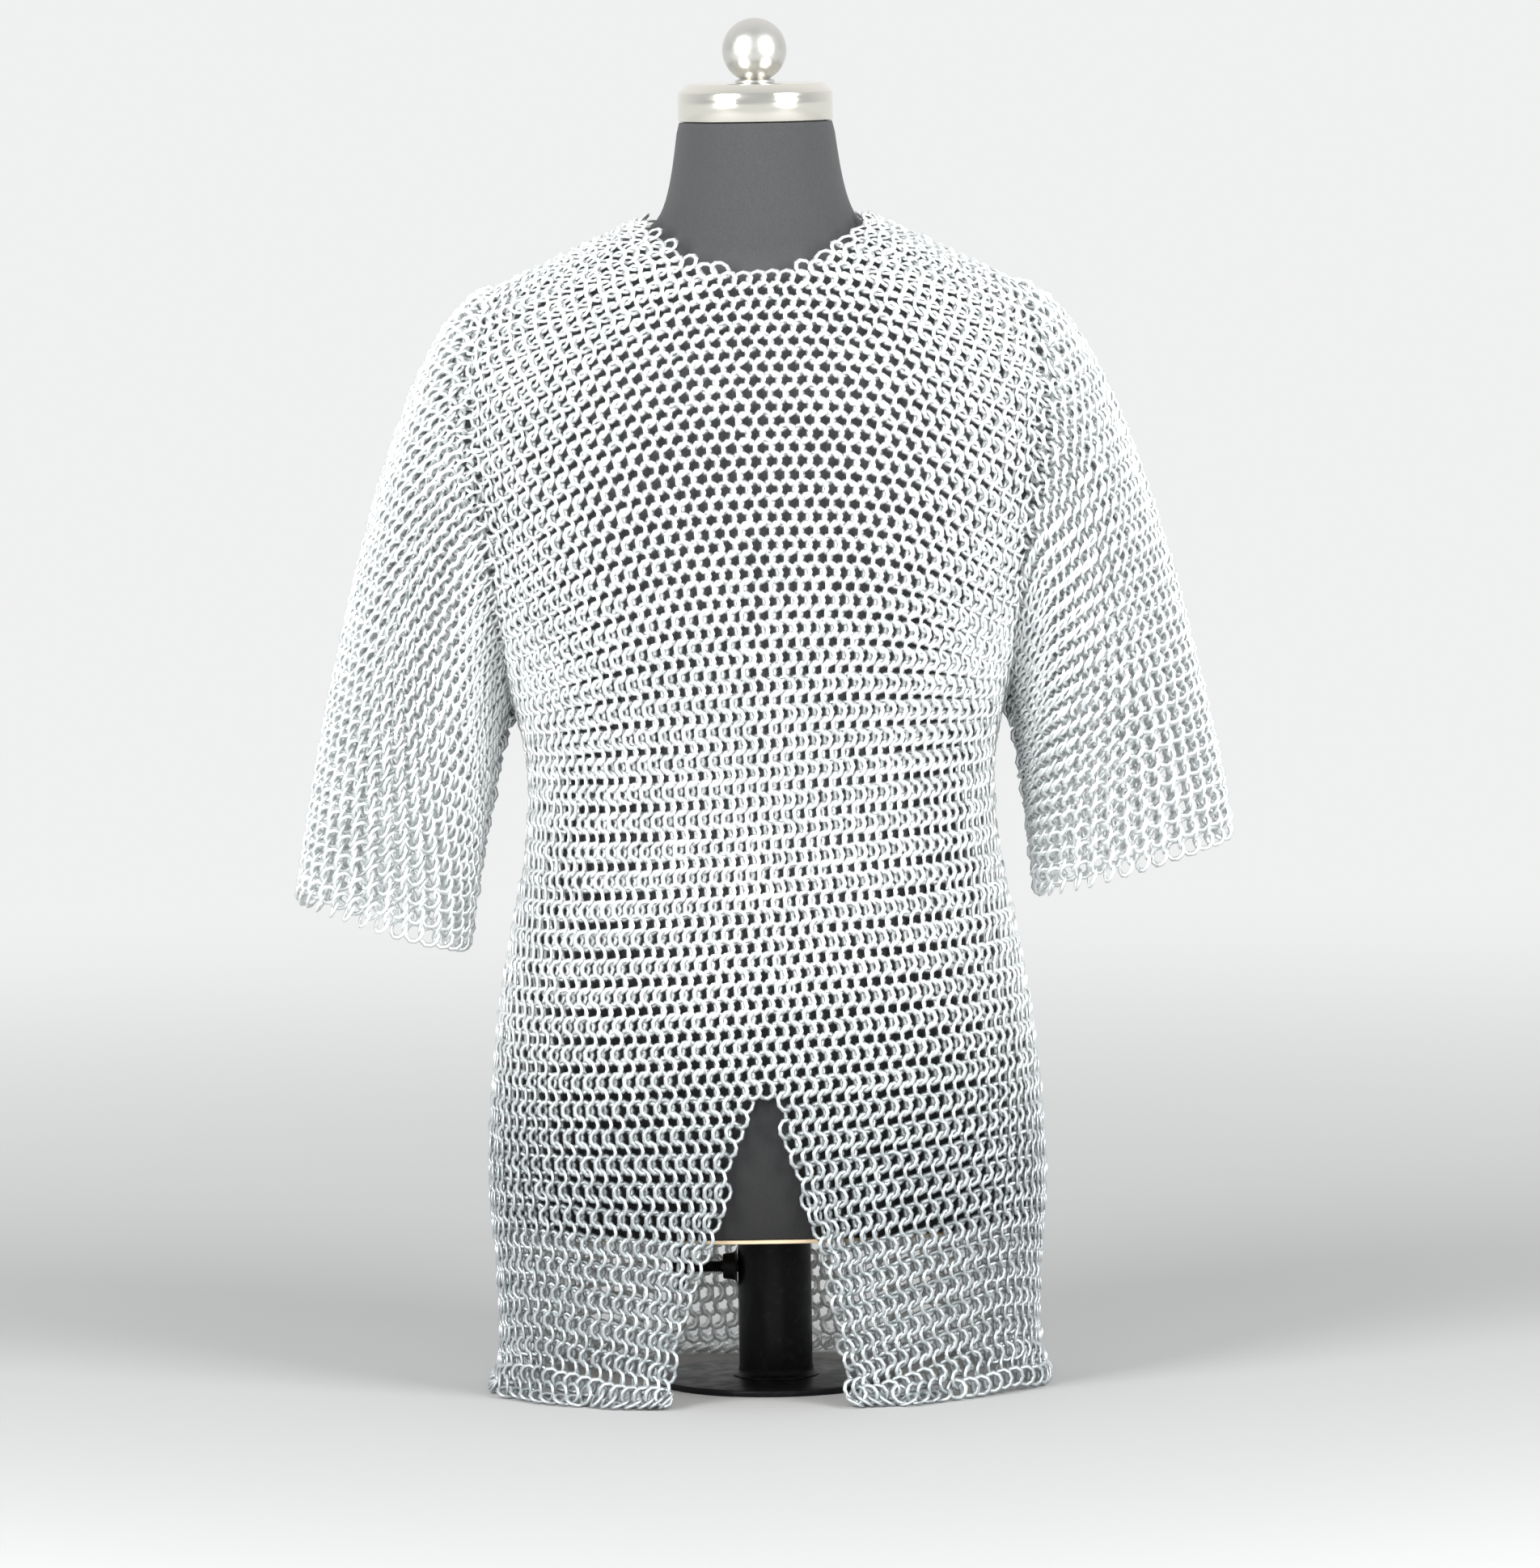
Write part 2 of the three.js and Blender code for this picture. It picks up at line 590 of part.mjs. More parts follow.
// The screw bears on the rod, and its cross bar is riveted through its eye, so they are one piece
function clampScrew() {
  const { radius, taper, before, beyond } = CLAMP_EYE;
  const eye = CLAMP.end - before;
  const profile = [[0, PIPE.rod + TOUCH], [CLAMP.spindle, PIPE.rod + TOUCH], [CLAMP.spindle, eye - taper],
    [radius, eye], [radius, CLAMP.end + beyond], [0, CLAMP.end + beyond]];
  const screw = towardRight(turned(profile, 16));
  const bar = new THREE.CylinderGeometry(CROSS_BAR.radius, CROSS_BAR.radius, 2 * CROSS_BAR.half, 12);
  bar.rotateX(Math.PI / 2);
  bar.translate(-CLAMP.end, 0, CLAMP.z);
  return named('clamp_screw', solidGeometry(solid(screw).add(solid(bar))), BLACK_PAINT);
}

const group = new THREE.Group();
group.add(
  bodyPanel('mail_front', -1),
  bodyPanel('mail_back', 1),
  skirtPanel('mail_skirt_front_right', () => -90, slitTurn('right'), -1, SIDE_STEPS),
  skirtPanel('mail_skirt_front_left', slitTurn('left'), () => 90, -1, SIDE_STEPS),
  skirtPanel('mail_skirt_back', () => 90, () => 270, 1, 2 * SIDE_STEPS),
  ...SLEEVES.map(sleeveTube),
  formTorso(),
  formBoard(),
  neckCap(),
  finialBall(),
  standPole(),
  formRod(),
  standCollar(),
  standBase(),
  clampBoss(),
  clampScrew(),
);

export default group;
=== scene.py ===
# %% [markdown]
# # A mail shirt on a dress form
#
# A mail shirt, or hauberk, is thousands of small steel rings, each linked through four others.
# It has no stiffness of its own, so it takes the shape of what it hangs on: here a black dress form
# on a short pipe stand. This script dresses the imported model, whose walls say where every piece goes.
# The mail is made ring by ring, because its look is the rings: the light on each wire, the dark of the
# gaps, and what shows through them.

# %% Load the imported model
import math

import bmesh
import bpy
import numpy as np
from mathutils import Matrix, Vector


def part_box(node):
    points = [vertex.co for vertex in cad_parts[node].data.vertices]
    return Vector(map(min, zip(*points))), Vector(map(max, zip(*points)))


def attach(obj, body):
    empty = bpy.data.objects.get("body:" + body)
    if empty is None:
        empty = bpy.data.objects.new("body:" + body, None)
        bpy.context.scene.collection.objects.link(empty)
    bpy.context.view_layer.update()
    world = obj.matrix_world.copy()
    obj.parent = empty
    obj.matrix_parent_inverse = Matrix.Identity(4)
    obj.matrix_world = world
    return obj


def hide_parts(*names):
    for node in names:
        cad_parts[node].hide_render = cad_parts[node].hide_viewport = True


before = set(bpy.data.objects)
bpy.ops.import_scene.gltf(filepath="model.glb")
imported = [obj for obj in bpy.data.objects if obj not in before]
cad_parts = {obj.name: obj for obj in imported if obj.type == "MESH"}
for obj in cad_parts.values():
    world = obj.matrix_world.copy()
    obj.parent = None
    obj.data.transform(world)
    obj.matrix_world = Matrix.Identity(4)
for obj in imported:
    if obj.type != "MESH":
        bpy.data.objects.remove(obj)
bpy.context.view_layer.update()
DRESSED = "dressed_form"
CLAMP = "clamp"
MM = 0.001
print("nodes:", sorted(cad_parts))

# %% [markdown]
# ## The camera
#
# The picture was taken with a long lens from across a room: the stand's foot is seen from about eight
# degrees above and the cap at the top almost level. A lens that long, far away, keeps the two sleeves
# and the hem in true proportion. The camera is rolled by a degree, as the picture leans.

# %% Camera
IMAGE_HEIGHT = 1938
FOCAL_PIXELS = 12800
SENSOR = 36.0
CAMERA_PLACE = Vector((0.0, -6.76, 1.0))
AIM_POINT = Vector((0.0023, 0.0, 0.394))
CAMERA_ROLL = math.radians(-0.95)

camera_data = bpy.data.cameras.new("camera")
camera_data.sensor_width = SENSOR
camera_data.lens = FOCAL_PIXELS * SENSOR / IMAGE_HEIGHT
camera_data.clip_end = 300
camera = bpy.data.objects.new("camera", camera_data)
bpy.context.scene.collection.objects.link(camera)
looking = (AIM_POINT - CAMERA_PLACE).to_track_quat("-Z", "Y").to_matrix()
camera.matrix_world = Matrix.Translation(CAMERA_PLACE) @ (looking @ Matrix.Rotation(CAMERA_ROLL, 3, "Z")).to_4x4()
bpy.context.scene.camera = camera
print("lens", round(camera_data.lens), "mm")

# %% [markdown]
# ## Materials
#
# Each finish is a small node tree on the Principled shader. A helper makes the tree, and another adds a
# noise that varies a value between two limits, which is what keeps a finish from looking like plastic.

# %% Material helpers
def material(name, color, metallic=0.0, roughness=0.5):
    made = bpy.data.materials.new(name)
    made.use_nodes = True
    shader = made.node_tree.nodes["Principled BSDF"]
    shader.inputs["Base Color"].default_value = (*color, 1)
    shader.inputs["Metallic"].default_value = metallic
    shader.inputs["Roughness"].default_value = roughness
    return made, made.node_tree.nodes, made.node_tree.links, shader


def noise(nodes, links, scale, detail=3.0, stretch=(1, 1, 1)):
    """A noise on the piece's own coordinates, in blobs of about 1/scale metres."""
    place = nodes.new("ShaderNodeTexCoord")
    mapping = nodes.new("ShaderNodeMapping")
    mapping.inputs["Scale"].default_value = stretch
    texture = nodes.new("ShaderNodeTexNoise")
    texture.inputs["Scale"].default_value = scale
    texture.inputs["Detail"].default_value = detail
    links.new(place.outputs["Object"], mapping.inputs["Vector"])
    links.new(mapping.outputs["Vector"], texture.inputs["Vector"])
    return texture.outputs["Fac"]


def between(nodes, links, value, low, high, start=0.3, end=0.7):
    """The value, spread from start..end to low..high."""
    spread = nodes.new("ShaderNodeMapRange")
    spread.interpolation_type = "SMOOTHSTEP"
    spread.inputs["From Min"].default_value = start
    spread.inputs["From Max"].default_value = end
    spread.inputs["To Min"].default_value = low
    spread.inputs["To Max"].default_value = high
    links.new(value, spread.inputs["Value"])
    return spread.outputs["Result"]


def two_tone(nodes, links, value, dark, light, start=0.3, end=0.7):
    """A colour that goes from dark to light as the value rises."""
    ramp = nodes.new("ShaderNodeValToRGB")
    ramp.color_ramp.elements[0].position = start
    ramp.color_ramp.elements[0].color = (*dark, 1)
    ramp.color_ramp.elements[1].position = end
    ramp.color_ramp.elements[1].color = (*light, 1)
    links.new(value, ramp.inputs["Fac"])
    return ramp.outputs["Color"]


def bumped(nodes, links, shader, value, height, strength=1.0):
    """Raises the surface by the value, up to a height in metres."""
    bump = nodes.new("ShaderNodeBump")
    bump.inputs["Strength"].default_value = strength
    bump.inputs["Distance"].default_value = height
    links.new(value, bump.inputs["Height"])
    links.new(bump.outputs["Normal"], shader.inputs["Normal"])


# %% [markdown]
# ### Zinc plate
#
# The rings are mild steel wire, wound, cut, and plated with zinc. Fresh zinc is bright and a little
# blue, with a soft shine under a milky film, so the shader is a little less than all metal. No two rings
# are alike: each took the plate and the tumbling differently.
# A number stored on each ring moves its tone, and a fine noise moves the shine along the wire. The number is
# random, but low in the front skirts it is pulled down: painted shade, for the light that falls off there.

# %% Mail steel
mail_steel, nodes, links, shader = material("mail_steel", (0.9, 0.93, 0.93), metallic=0.7)
ring_tone = nodes.new("ShaderNodeAttribute")
ring_tone.attribute_name = "tone"
links.new(
    two_tone(nodes, links, ring_tone.outputs["Fac"], (0.47, 0.51, 0.52), (0.97, 0.99, 0.99), 0.0, 1.0),
    shader.inputs["Base Color"],
)
links.new(between(nodes, links, noise(nodes, links, 420), 0.34, 0.50), shader.inputs["Roughness"])
bumped(nodes, links, shader, noise(nodes, links, 1800), 0.00005, 0.5)

# %% [markdown]
# ### Black jersey, bare board, nickel and black paint
#
# The form's cover is a fine knit jersey: rough, almost without shine, with a soft sheen at its edge. Its grey is
# painted light and shade by height: darkest near the foot, lightest behind the chest and a little darker at the neck.
# The board is plain ply, the cap and the ball are nickel plate, and the stand is sprayed a dull black.

# %% Form and stand materials
jersey, nodes, links, shader = material("form_jersey", (0.012, 0.012, 0.014), roughness=0.92)
shader.inputs["Sheen Weight"].default_value = 0.1
shader.inputs["Sheen Roughness"].default_value = 0.5
knit = nodes.new("ShaderNodeTexWave")
knit.inputs["Scale"].default_value = 320
knit.inputs["Distortion"].default_value = 2.5
knit.inputs["Detail"].default_value = 2
knit_place = nodes.new("ShaderNodeTexCoord")
links.new(knit_place.outputs["Object"], knit.inputs["Vector"])
height_parts = nodes.new("ShaderNodeSeparateXYZ")
links.new(knit_place.outputs["Object"], height_parts.inputs["Vector"])
# Painted light and shade by height in metres: the grey is darkest near the foot, where the light falls off, and
# lightest behind the chest, where it lifts the gaps that the mail shades. The noise below mottles it at random.
LIGHT_BY_HEIGHT = [(0.12, 0.013), (0.26, 0.035), (0.40, 0.105), (0.66, 0.105), (0.75, 0.058)]
painted_light_ramp = nodes.new("ShaderNodeValToRGB")
stops = painted_light_ramp.color_ramp.elements
stops.remove(stops[1])
for place, (height, grey) in enumerate(LIGHT_BY_HEIGHT):
    stop = stops.new(height) if place else stops[0]
    stop.position = height
    stop.color = (grey, grey * 1.02, grey * 1.06, 1)
links.new(height_parts.outputs["Z"], painted_light_ramp.inputs["Fac"])
painted_light_and_mottle = nodes.new("ShaderNodeMix")
painted_light_and_mottle.data_type = "RGBA"
painted_light_and_mottle.blend_type = "MULTIPLY"
painted_light_and_mottle.inputs["Factor"].default_value = 1.0
links.new(painted_light_ramp.outputs["Color"], painted_light_and_mottle.inputs["A"])
links.new(two_tone(nodes, links, noise(nodes, links, 900), (0.75, 0.75, 0.75), (1, 1, 1)), painted_light_and_mottle.inputs["B"])
links.new(painted_light_and_mottle.outputs["Result"], shader.inputs["Base Color"])
bumped(nodes, links, shader, knit.outputs["Fac"], 0.0002, 0.5)

board_wood, nodes, links, shader = material("board_wood", (0.6, 0.47, 0.3), roughness=0.7)
grain = noise(nodes, links, 30, 5, (1, 12, 12))
links.new(two_tone(nodes, links, grain, (0.42, 0.30, 0.17), (0.68, 0.55, 0.38)), shader.inputs["Base Color"])
bumped(nodes, links, shader, grain, 0.0002, 0.4)

nickel, nodes, links, shader = material("polished_nickel", (0.80, 0.78, 0.71), metallic=1.0)
links.new(between(nodes, links, noise(nodes, links, 60, 6, (1, 1, 8)), 0.10, 0.20), shader.inputs["Roughness"])
bumped(nodes, links, shader, noise(nodes, links, 900, 2, (1, 1, 10)), 0.00002, 0.3)

satin_nickel, nodes, links, shader = material("satin_nickel", (0.66, 0.65, 0.62), metallic=1.0)
links.new(between(nodes, links, noise(nodes, links, 120, 5), 0.28, 0.38), shader.inputs["Roughness"])
bumped(nodes, links, shader, noise(nodes, links, 700, 3), 0.00004, 0.4)

black_paint, nodes, links, shader = material("black_paint", (0.005, 0.005, 0.006))
shader.inputs["Specular IOR Level"].default_value = 0.2
links.new(between(nodes, links, noise(nodes, links, 80, 5), 0.28, 0.42), shader.inputs["Roughness"])
links.new(
    two_tone(nodes, links, noise(nodes, links, 200, 6), (0.004, 0.004, 0.005), (0.016, 0.016, 0.017), 0.55, 0.8),
    shader.inputs["Base Color"],
)
bumped(nodes, links, shader, noise(nodes, links, 500, 2), 0.00006, 0.4)
print("materials:", len(bpy.data.materials))

# %% [markdown]
# ## The torso under the mail
#
# Mail shows the body that it hangs on, so the rings need that body's surface. The same sections that
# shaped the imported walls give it: a half width, two depths and a squareness at each height, joined by a
# smooth curve. A place on the surface is named by a turn, 0 at the chest and 180 at the back, and a level,
# which is the height up to the top of the chest and then counts on over the shoulders.
# Lengths here are in millimetres.

# %% Torso sections
MAIL_THICK = 6.4
YOKE = 640
TOP = 730
ARMPIT = 452
WAIST = 373
SIDE_LEAN = -3.5
NECK_POINT = 30
SECTION = {"height": 0, "half": 1, "front": 2, "back": 3, "power": 4}
TORSO = np.array([
    (0, 180, 127, 124, 2.3),
    (12, 174, 120, 118, 2.3),
    (40, 172, 117, 115, 2.3),
    (75, 173, 118, 116, 2.35),
    (130, 177, 120, 118, 2.4),
    (177, 175.5, 120, 122, 2.4),
    (238, 170, 118, 121, 2.4),
    (295, 160.5, 113, 110, 2.35),
    (338, 151.5, 108, 100, 2.3),
    (375, 147, 106, 97, 2.3),
    (416, 147.5, 109, 99, 2.35),
    (452, 155.5, 114, 104, 2.45),
    (503, 171, 121, 110, 2.5),
    (555, 186, 123, 114, 2.5),
    (600, 196, 120, 116, 2.5),
    (640, 199, 113, 112, 2.5),
])


def smooth_curve(keys, values, at):
    """A smooth curve through the values at their keys, read at other places."""
    slopes = np.gradient(values, keys)
    slopes[1:-1] = (values[2:] - values[:-2]) / (keys[2:] - keys[:-2])
    low = np.clip(np.searchsorted(keys, at, side="right") - 1, 0, len(keys) - 2)
    span = keys[low + 1] - keys[low]
    t = np.clip((at - keys[low]) / span, 0, 1)
    ease = t * t * (3 - 2 * t)
    bend = span * t * (1 - t) * ((1 - t) * slopes[low] - t * slopes[low + 1])
    return values[low] + (values[low + 1] - values[low]) * ease + bend


def section(column, height):
    return smooth_curve(TORSO[:, 0], TORSO[:, SECTION[column]], height)


print("girth of the hips, about", round(4 * float(section("half", 238.0) + section("front", 238.0))), "mm")

# %% [markdown]
# Where the hem bears on the table the skirts buckle into soft folds. Each is a bump round the body with
# a turn, a width, a depth and the height where it dies out.

# %% Hem folds and the shoulders
HEM_FOLDS = np.array([
    (-72, 11, 7, 46), (-50, 9, 5, 34), (-30, 8, 8, 40), (24, 8, 7, 36), (47, 10, 4, 30), (70, 11, 8, 48),
    (108, 12, 6, 38), (137, 10, 8, 44), (166, 10, 5, 32), (197, 11, 8, 42), (226, 9, 5, 36), (251, 12, 7, 40),
])
NECK_ROOT = {"radius": 68, "depth": 66, "side": 762, "front": 742, "back": 768}
SHOULDER_TIP = {"x": 190, "z": 708}
RIDGE_SAG = 1.15
CHEST_SLOPE = 1.35


def mix(low, high, share):
    return low + (high - low) * share


def ease_between(value, start, end):
    t = np.clip((value - start) / (end - start), 0, 1)
    return t * t * (3 - 2 * t)


def fold_out(turn, height):
    """How far the hem's folds push the cloth out."""
    out = np.zeros(np.broadcast(turn, height).shape)
    for fold_turn, width, depth, top in HEM_FOLDS:
        away = (turn - fold_turn + 180) % 360 - 180
        fade = np.maximum(0, 1 - height / top)
        out = out + depth * fade * fade * np.exp(-((away / width) ** 2))
    return out


def top_edge(angle, face):
    """Where the lines up the body end: on the root of the neck, or on the ridge of the shoulders."""
    around = np.radians(90 * angle / NECK_POINT)
    neck_top = np.where(face < 0, NECK_ROOT["front"], NECK_ROOT["back"])
    out = np.clip((angle - NECK_POINT) / (90 - NECK_POINT), 0, 1)
    at_neck = angle <= NECK_POINT
    x = np.where(at_neck, NECK_ROOT["radius"] * np.sin(around), mix(NECK_ROOT["radius"], SHOULDER_TIP["x"], out))
    y = np.where(at_neck, face * NECK_ROOT["depth"] * np.cos(around), 0)
    ridge = mix(SHOULDER_TIP["z"], NECK_ROOT["side"], (1 - out) ** RIDGE_SAG)
    z = np.where(at_neck, mix(NECK_ROOT["side"], neck_top, np.cos(around) ** 2), ridge)
    return x, y, z, np.where(at_neck, 0, out * SIDE_LEAN)


def torso_point(turn, level):
    """A point of the torso's surface, for arrays of turns in degrees and levels in millimetres."""
    turn, level = np.broadcast_arrays(np.asarray(turn, float), np.asarray(level, float))
    whole = (turn + 180) % 360 - 180
    side = np.sign(whole)
    face = np.where(np.abs(whole) > 90, 1, -1)
    angle = np.where(face > 0, 180 - np.abs(whole), np.abs(whole))
    height = np.minimum(level, YOKE)
    bend = 2 / section("power", height)
    swell = fold_out(turn, height)
    depth = np.where(face < 0, section("front", height), section("back", height)) + swell
    x = side * (section("half", height) + swell) * np.sin(np.radians(angle)) ** bend + SIDE_LEAN
    y = face * depth * np.maximum(np.cos(np.radians(angle)), 0) ** bend
    top_x, top_y, top_z, lean = top_edge(angle, face)
    climb = np.radians(np.clip(90 * (level - YOKE) / (TOP - YOKE), 0, 90))
    power = 2 / mix(CHEST_SLOPE, 2, np.minimum(1, angle / NECK_POINT) ** 2)
    left = np.maximum(np.cos(climb), 0) ** power
    over = level > YOKE
    return np.stack([
        np.where(over, mix(side * top_x + lean, x, left), x),
        np.where(over, mix(top_y, y, left), y),
        np.where(over, mix(YOKE, top_z, np.sin(climb) ** power), level),
    ], axis=-1)


def cross_unit(a, b):
    normal = np.cross(a, b)
    return normal / np.maximum(np.linalg.norm(normal, axis=-1, keepdims=True), 1e-9)


def torso_normal(turn, level):
    """The outward direction, kept level in the skirts, which hang straight down."""
    at = np.minimum(level, TOP - 3)
    across = torso_point(turn + 0.5, at) - torso_point(turn - 0.5, at)
    up = torso_point(turn, at + 0.5) - torso_point(turn, at - 0.5)
    normal = cross_unit(across, up)
    normal[..., 2] *= ease_between(np.broadcast_to(level, normal.shape[:-1]), WAIST, YOKE)
    return normal / np.linalg.norm(normal, axis=-1, keepdims=True)


def cloth_point(turn, level):
    """The middle of the mail's thickness."""
    return torso_point(turn, level) + torso_normal(turn, level) * (MAIL_THICK / 2)


print("chest at the yoke:", cloth_point(0, YOKE).round(1))

# %% [markdown]
# ## One ring
#
# A ring is a round wire bent to a circle. It repeats thousands of times, so it has few faces: nine steps
# round the circle and four round the wire, whose corners face out, in and to both sides, so that smooth
# shading still reads as round wire. Its section is a lozenge with as much metal as the round wire, wider
# in the ring's own plane, because bright wire looks wider than it is. Spinning it about an axis makes the ring.

# %% Ring template
WIRE = 2.1
WIRE_WIDE, WIRE_DEEP = 3.3, 2.2
RING_INSIDE = 10.2
RING_MIDDLE = (RING_INSIDE + WIRE) / 2
RING_STEPS = 9
WIRE_SIDES = 4


def ring_template():
    mesh = bmesh.new()
    bmesh.ops.create_circle(mesh, segments=WIRE_SIDES, radius=MM / 2, matrix=Matrix.Rotation(math.pi / 2, 4, "X"))
    bmesh.ops.scale(mesh, verts=mesh.verts, vec=(WIRE_WIDE, 1, WIRE_DEEP))
    bmesh.ops.translate(mesh, verts=mesh.verts, vec=(RING_MIDDLE * MM, 0, 0))
    bmesh.ops.spin(
        mesh, geom=mesh.verts[:] + mesh.edges[:], cent=(0, 0, 0), axis=(0, 0, 1),
        angle=2 * math.pi, steps=RING_STEPS, use_merge=True,
    )
    bmesh.ops.remove_doubles(mesh, verts=mesh.verts, dist=1e-6)
    bmesh.ops.recalc_face_normals(mesh, faces=mesh.faces)
    for face in mesh.faces:
        face.smooth = True
    data = bpy.data.meshes.new("ring_template")
    mesh.to_mesh(data)
    mesh.free()
    data.materials.append(mail_steel)
    template = bpy.data.objects.new("ring_template", data)
    bpy.context.scene.collection.objects.link(template)
    return template


template = ring_template()
print("ring:", len(template.data.vertices), "vertices,", len(template.data.polygons), "faces")

# %% [markdown]
# ## How the rings link
#
# In four-in-one mail every ring of a row leans the same way, like fallen dominoes, and the next row leans
# the other way and is set over by half a pitch. That is what lets one ring pass through two above and two
# below. The rows can only be so far apart for a given pitch: as the shirt narrows at the waist its rings
# crowd along the row and the rows spread. The same count of rings goes all the way round.

# %% Link geometry
RING_LEAN = math.radians(22)
RINGS_ROUND = 108
TAUTNESS = 1.02


def row_spacing(pitch):
    """The distance between two rows that hang almost taut, for a pitch along the row."""
    half_gap = pitch / (4 * math.cos(RING_LEAN))
    return TAUTNESS * (math.sqrt(RING_MIDDLE**2 - half_gap**2) + math.sqrt((RING_MIDDLE - WIRE) ** 2 - half_gap**2))


print("row spacing at a pitch of 9.7 mm:", round(row_spacing(9.7), 2), "mm")

# %% [markdown]
# ## Where the mail ends
#
# The panels end at the armholes, at the neckline, at the slit of the front skirt and at the hem. Each end
# is a curve on the surface, and a ring whose middle comes too close to one is left out, as a maker would
# stop the row there.

# %% Edges of the panels
ARMHOLE_SPREAD = 27
ARMHOLE_TOP = 7
NECKLINE = 36
NECKLINE_DROP = 17
EDGE_ROOM = 5.5
SLIT_COLUMNS = {"height": 0, "right": 1, "left": 2}
SLIT = np.array([
    (0, -64, 42), (25, -62, 41), (50, -56, 37.5), (75, -48.5, 33), (110, -35, 25), (150, -23, 10.5),
    (180, -14, 2.5), (206, -3.8, -3.2), (240, -3.8, -3.2), (373, -3.8, -3.2),
])
SLIT_TOP = 206


def cloth_turn(level):
    """Half the angle that the body's panels span at a level: a quarter turn, less the armhole."""
    rise = np.clip((level - ARMPIT) / (TOP - ARMPIT), 0, 1)
    return 90 - ARMHOLE_TOP * rise**2 - ARMHOLE_SPREAD * np.maximum(np.sin(np.pi * rise), 0) ** 0.8


def slit_edge(side, height):
    return smooth_curve(SLIT[:, 0], SLIT[:, SLIT_COLUMNS[side]], height)


def slit_distance(turn, point):
    """How far a ring is from the slit's edge, or a long way where there is no slit."""
    height = point[..., 2]
    away = np.where(point[..., 0] > SIDE_LEAN, point[..., 0] - slit_edge("left", height), slit_edge("right", height) - point[..., 0])
    beside = (np.abs((turn + 180) % 360 - 180) < 90) & (height < SLIT_TOP)
    return np.where(beside, np.maximum(away, 0), 1000)


def in_the_cloth(turn, level, point):
    """Which rings lie on a panel, and not in the armholes, past the neckline or in the slit."""
    whole = np.abs((turn + 180) % 360 - 180)
    angle = np.where(whole > 90, 180 - whole, whole)
    limit = cloth_turn(level)
    in_armhole = (level > ARMPIT) & (angle > limit + 1)
    across = 90 * angle / np.maximum(limit, 1)
    dip = NECKLINE_DROP * np.cos(np.radians(90 * across / NECKLINE)) + EDGE_ROOM
    past_neck = level > np.where(across < NECKLINE, TOP - dip, TOP)
    height = point[..., 2]
    in_slit = (
        (whole < 90) & (height < SLIT_TOP)
        & (point[..., 0] > slit_edge("right", height) - EDGE_ROOM)
        & (point[..., 0] < slit_edge("left", height) + EDGE_ROOM)
    )
    return ~(in_armhole | past_neck | in_slit)


print("armhole half width at the chest:", round(90 - float(cloth_turn(580.0))), "degrees")

# %% [markdown]
# ## How the rows run
#
# Rows aren't level. On the chest they arch, because the mail hangs from the neck and drops away towards
# the arms. The whole shirt sits a little askew, and each half of the front skirt sags towards the slit.
# The rise of a row is the sum of these three, in millimetres, at each turn and height.

# %% Rise of a row
TILT = 0.052
ARCH = 0.00023
ARCH_SIDES = 0.0000084
ARCH_START, ARCH_FULL = 380, 550
SLIT_SLOPE = 0.30
SLIT_REACH, SLIT_LEVEL = 150, 42
SLIT_SLOPE_TOP, SLIT_SLOPE_FULL = 190, 35


def row_rise(turn, height):
    flat = np.clip(height, 0, YOKE)
    x = torso_point(turn, flat)[..., 0] - SIDE_LEAN
    facing = 0.75 + 0.25 * np.cos(np.radians(turn))
    arch = facing * ease_between(flat, ARCH_START, ARCH_FULL) * (ARCH * x**2 + ARCH_SIDES * np.abs(x) ** 3)
    tilt = TILT * (1 - 0.6 * ease_between(flat, WAIST, YOKE)) * x
    whole = np.abs((turn + 180) % 360 - 180)
    edge = np.where(x < 0, slit_edge("right", flat), slit_edge("left", flat))
    from_slit = np.maximum(np.abs(x - edge), 0)
    slope = SLIT_SLOPE * (1 - ease_between(flat, SLIT_SLOPE_FULL, SLIT_SLOPE_TOP)) * ease_between(-whole, -90, -50)
    return tilt - arch + slope * (SLIT_REACH * (1 - np.exp(-from_slit / SLIT_REACH)) - SLIT_LEVEL)


print("arch at the side of the chest:", round(float(row_rise(60, 600)), 1), "mm")

# %% [markdown]
# ## Laying the rows
#
# A row is laid as a curve: at each turn round the body it is at some climb from the yoke, which is the
# level below it and the way up over the dome of the shoulders above it. The curve's length is measured
# out from the centre front to the centre back, and the rings are set at even steps along it, half a step
# over in every other row. Below the hem's edge the last rows lie out flat on the table.

# %% Row curves
CROWD = 15
CROWD_LENGTH = 28
CROWD_TOP, CROWD_FULL = 206, 120
HALF_TURNS = np.linspace(0, 180, 181)
DOME_LEVELS = np.linspace(YOKE, TOP, 61)
RIDGE_LAP = 4.0
FLOOR_BEND = 5.0
LYING_HEIGHT = 3.2
LYING_SPREAD, LYING_INSET = 0.8, 6.0


def running_length(points):
    steps = np.linalg.norm(np.diff(points, axis=0), axis=-1)
    return np.concatenate([np.zeros((1,) + steps.shape[1:]), np.cumsum(steps, axis=0)])


dome = cloth_point(HALF_TURNS[None, :], DOME_LEVELS[:, None])
dome_climb = running_length(dome)


def level_at(climb):
    """The level on each of the half turns for a climb from the yoke, and whether it stops at the ridge."""
    over = [np.interp(c, dome_climb[:, k], DOME_LEVELS) for k, c in enumerate(climb)]
    there = climb < dome_climb[-1] + np.where(HALF_TURNS < 90, RIDGE_LAP, 0)
    return np.where(climb < 0, YOKE + climb, over), there


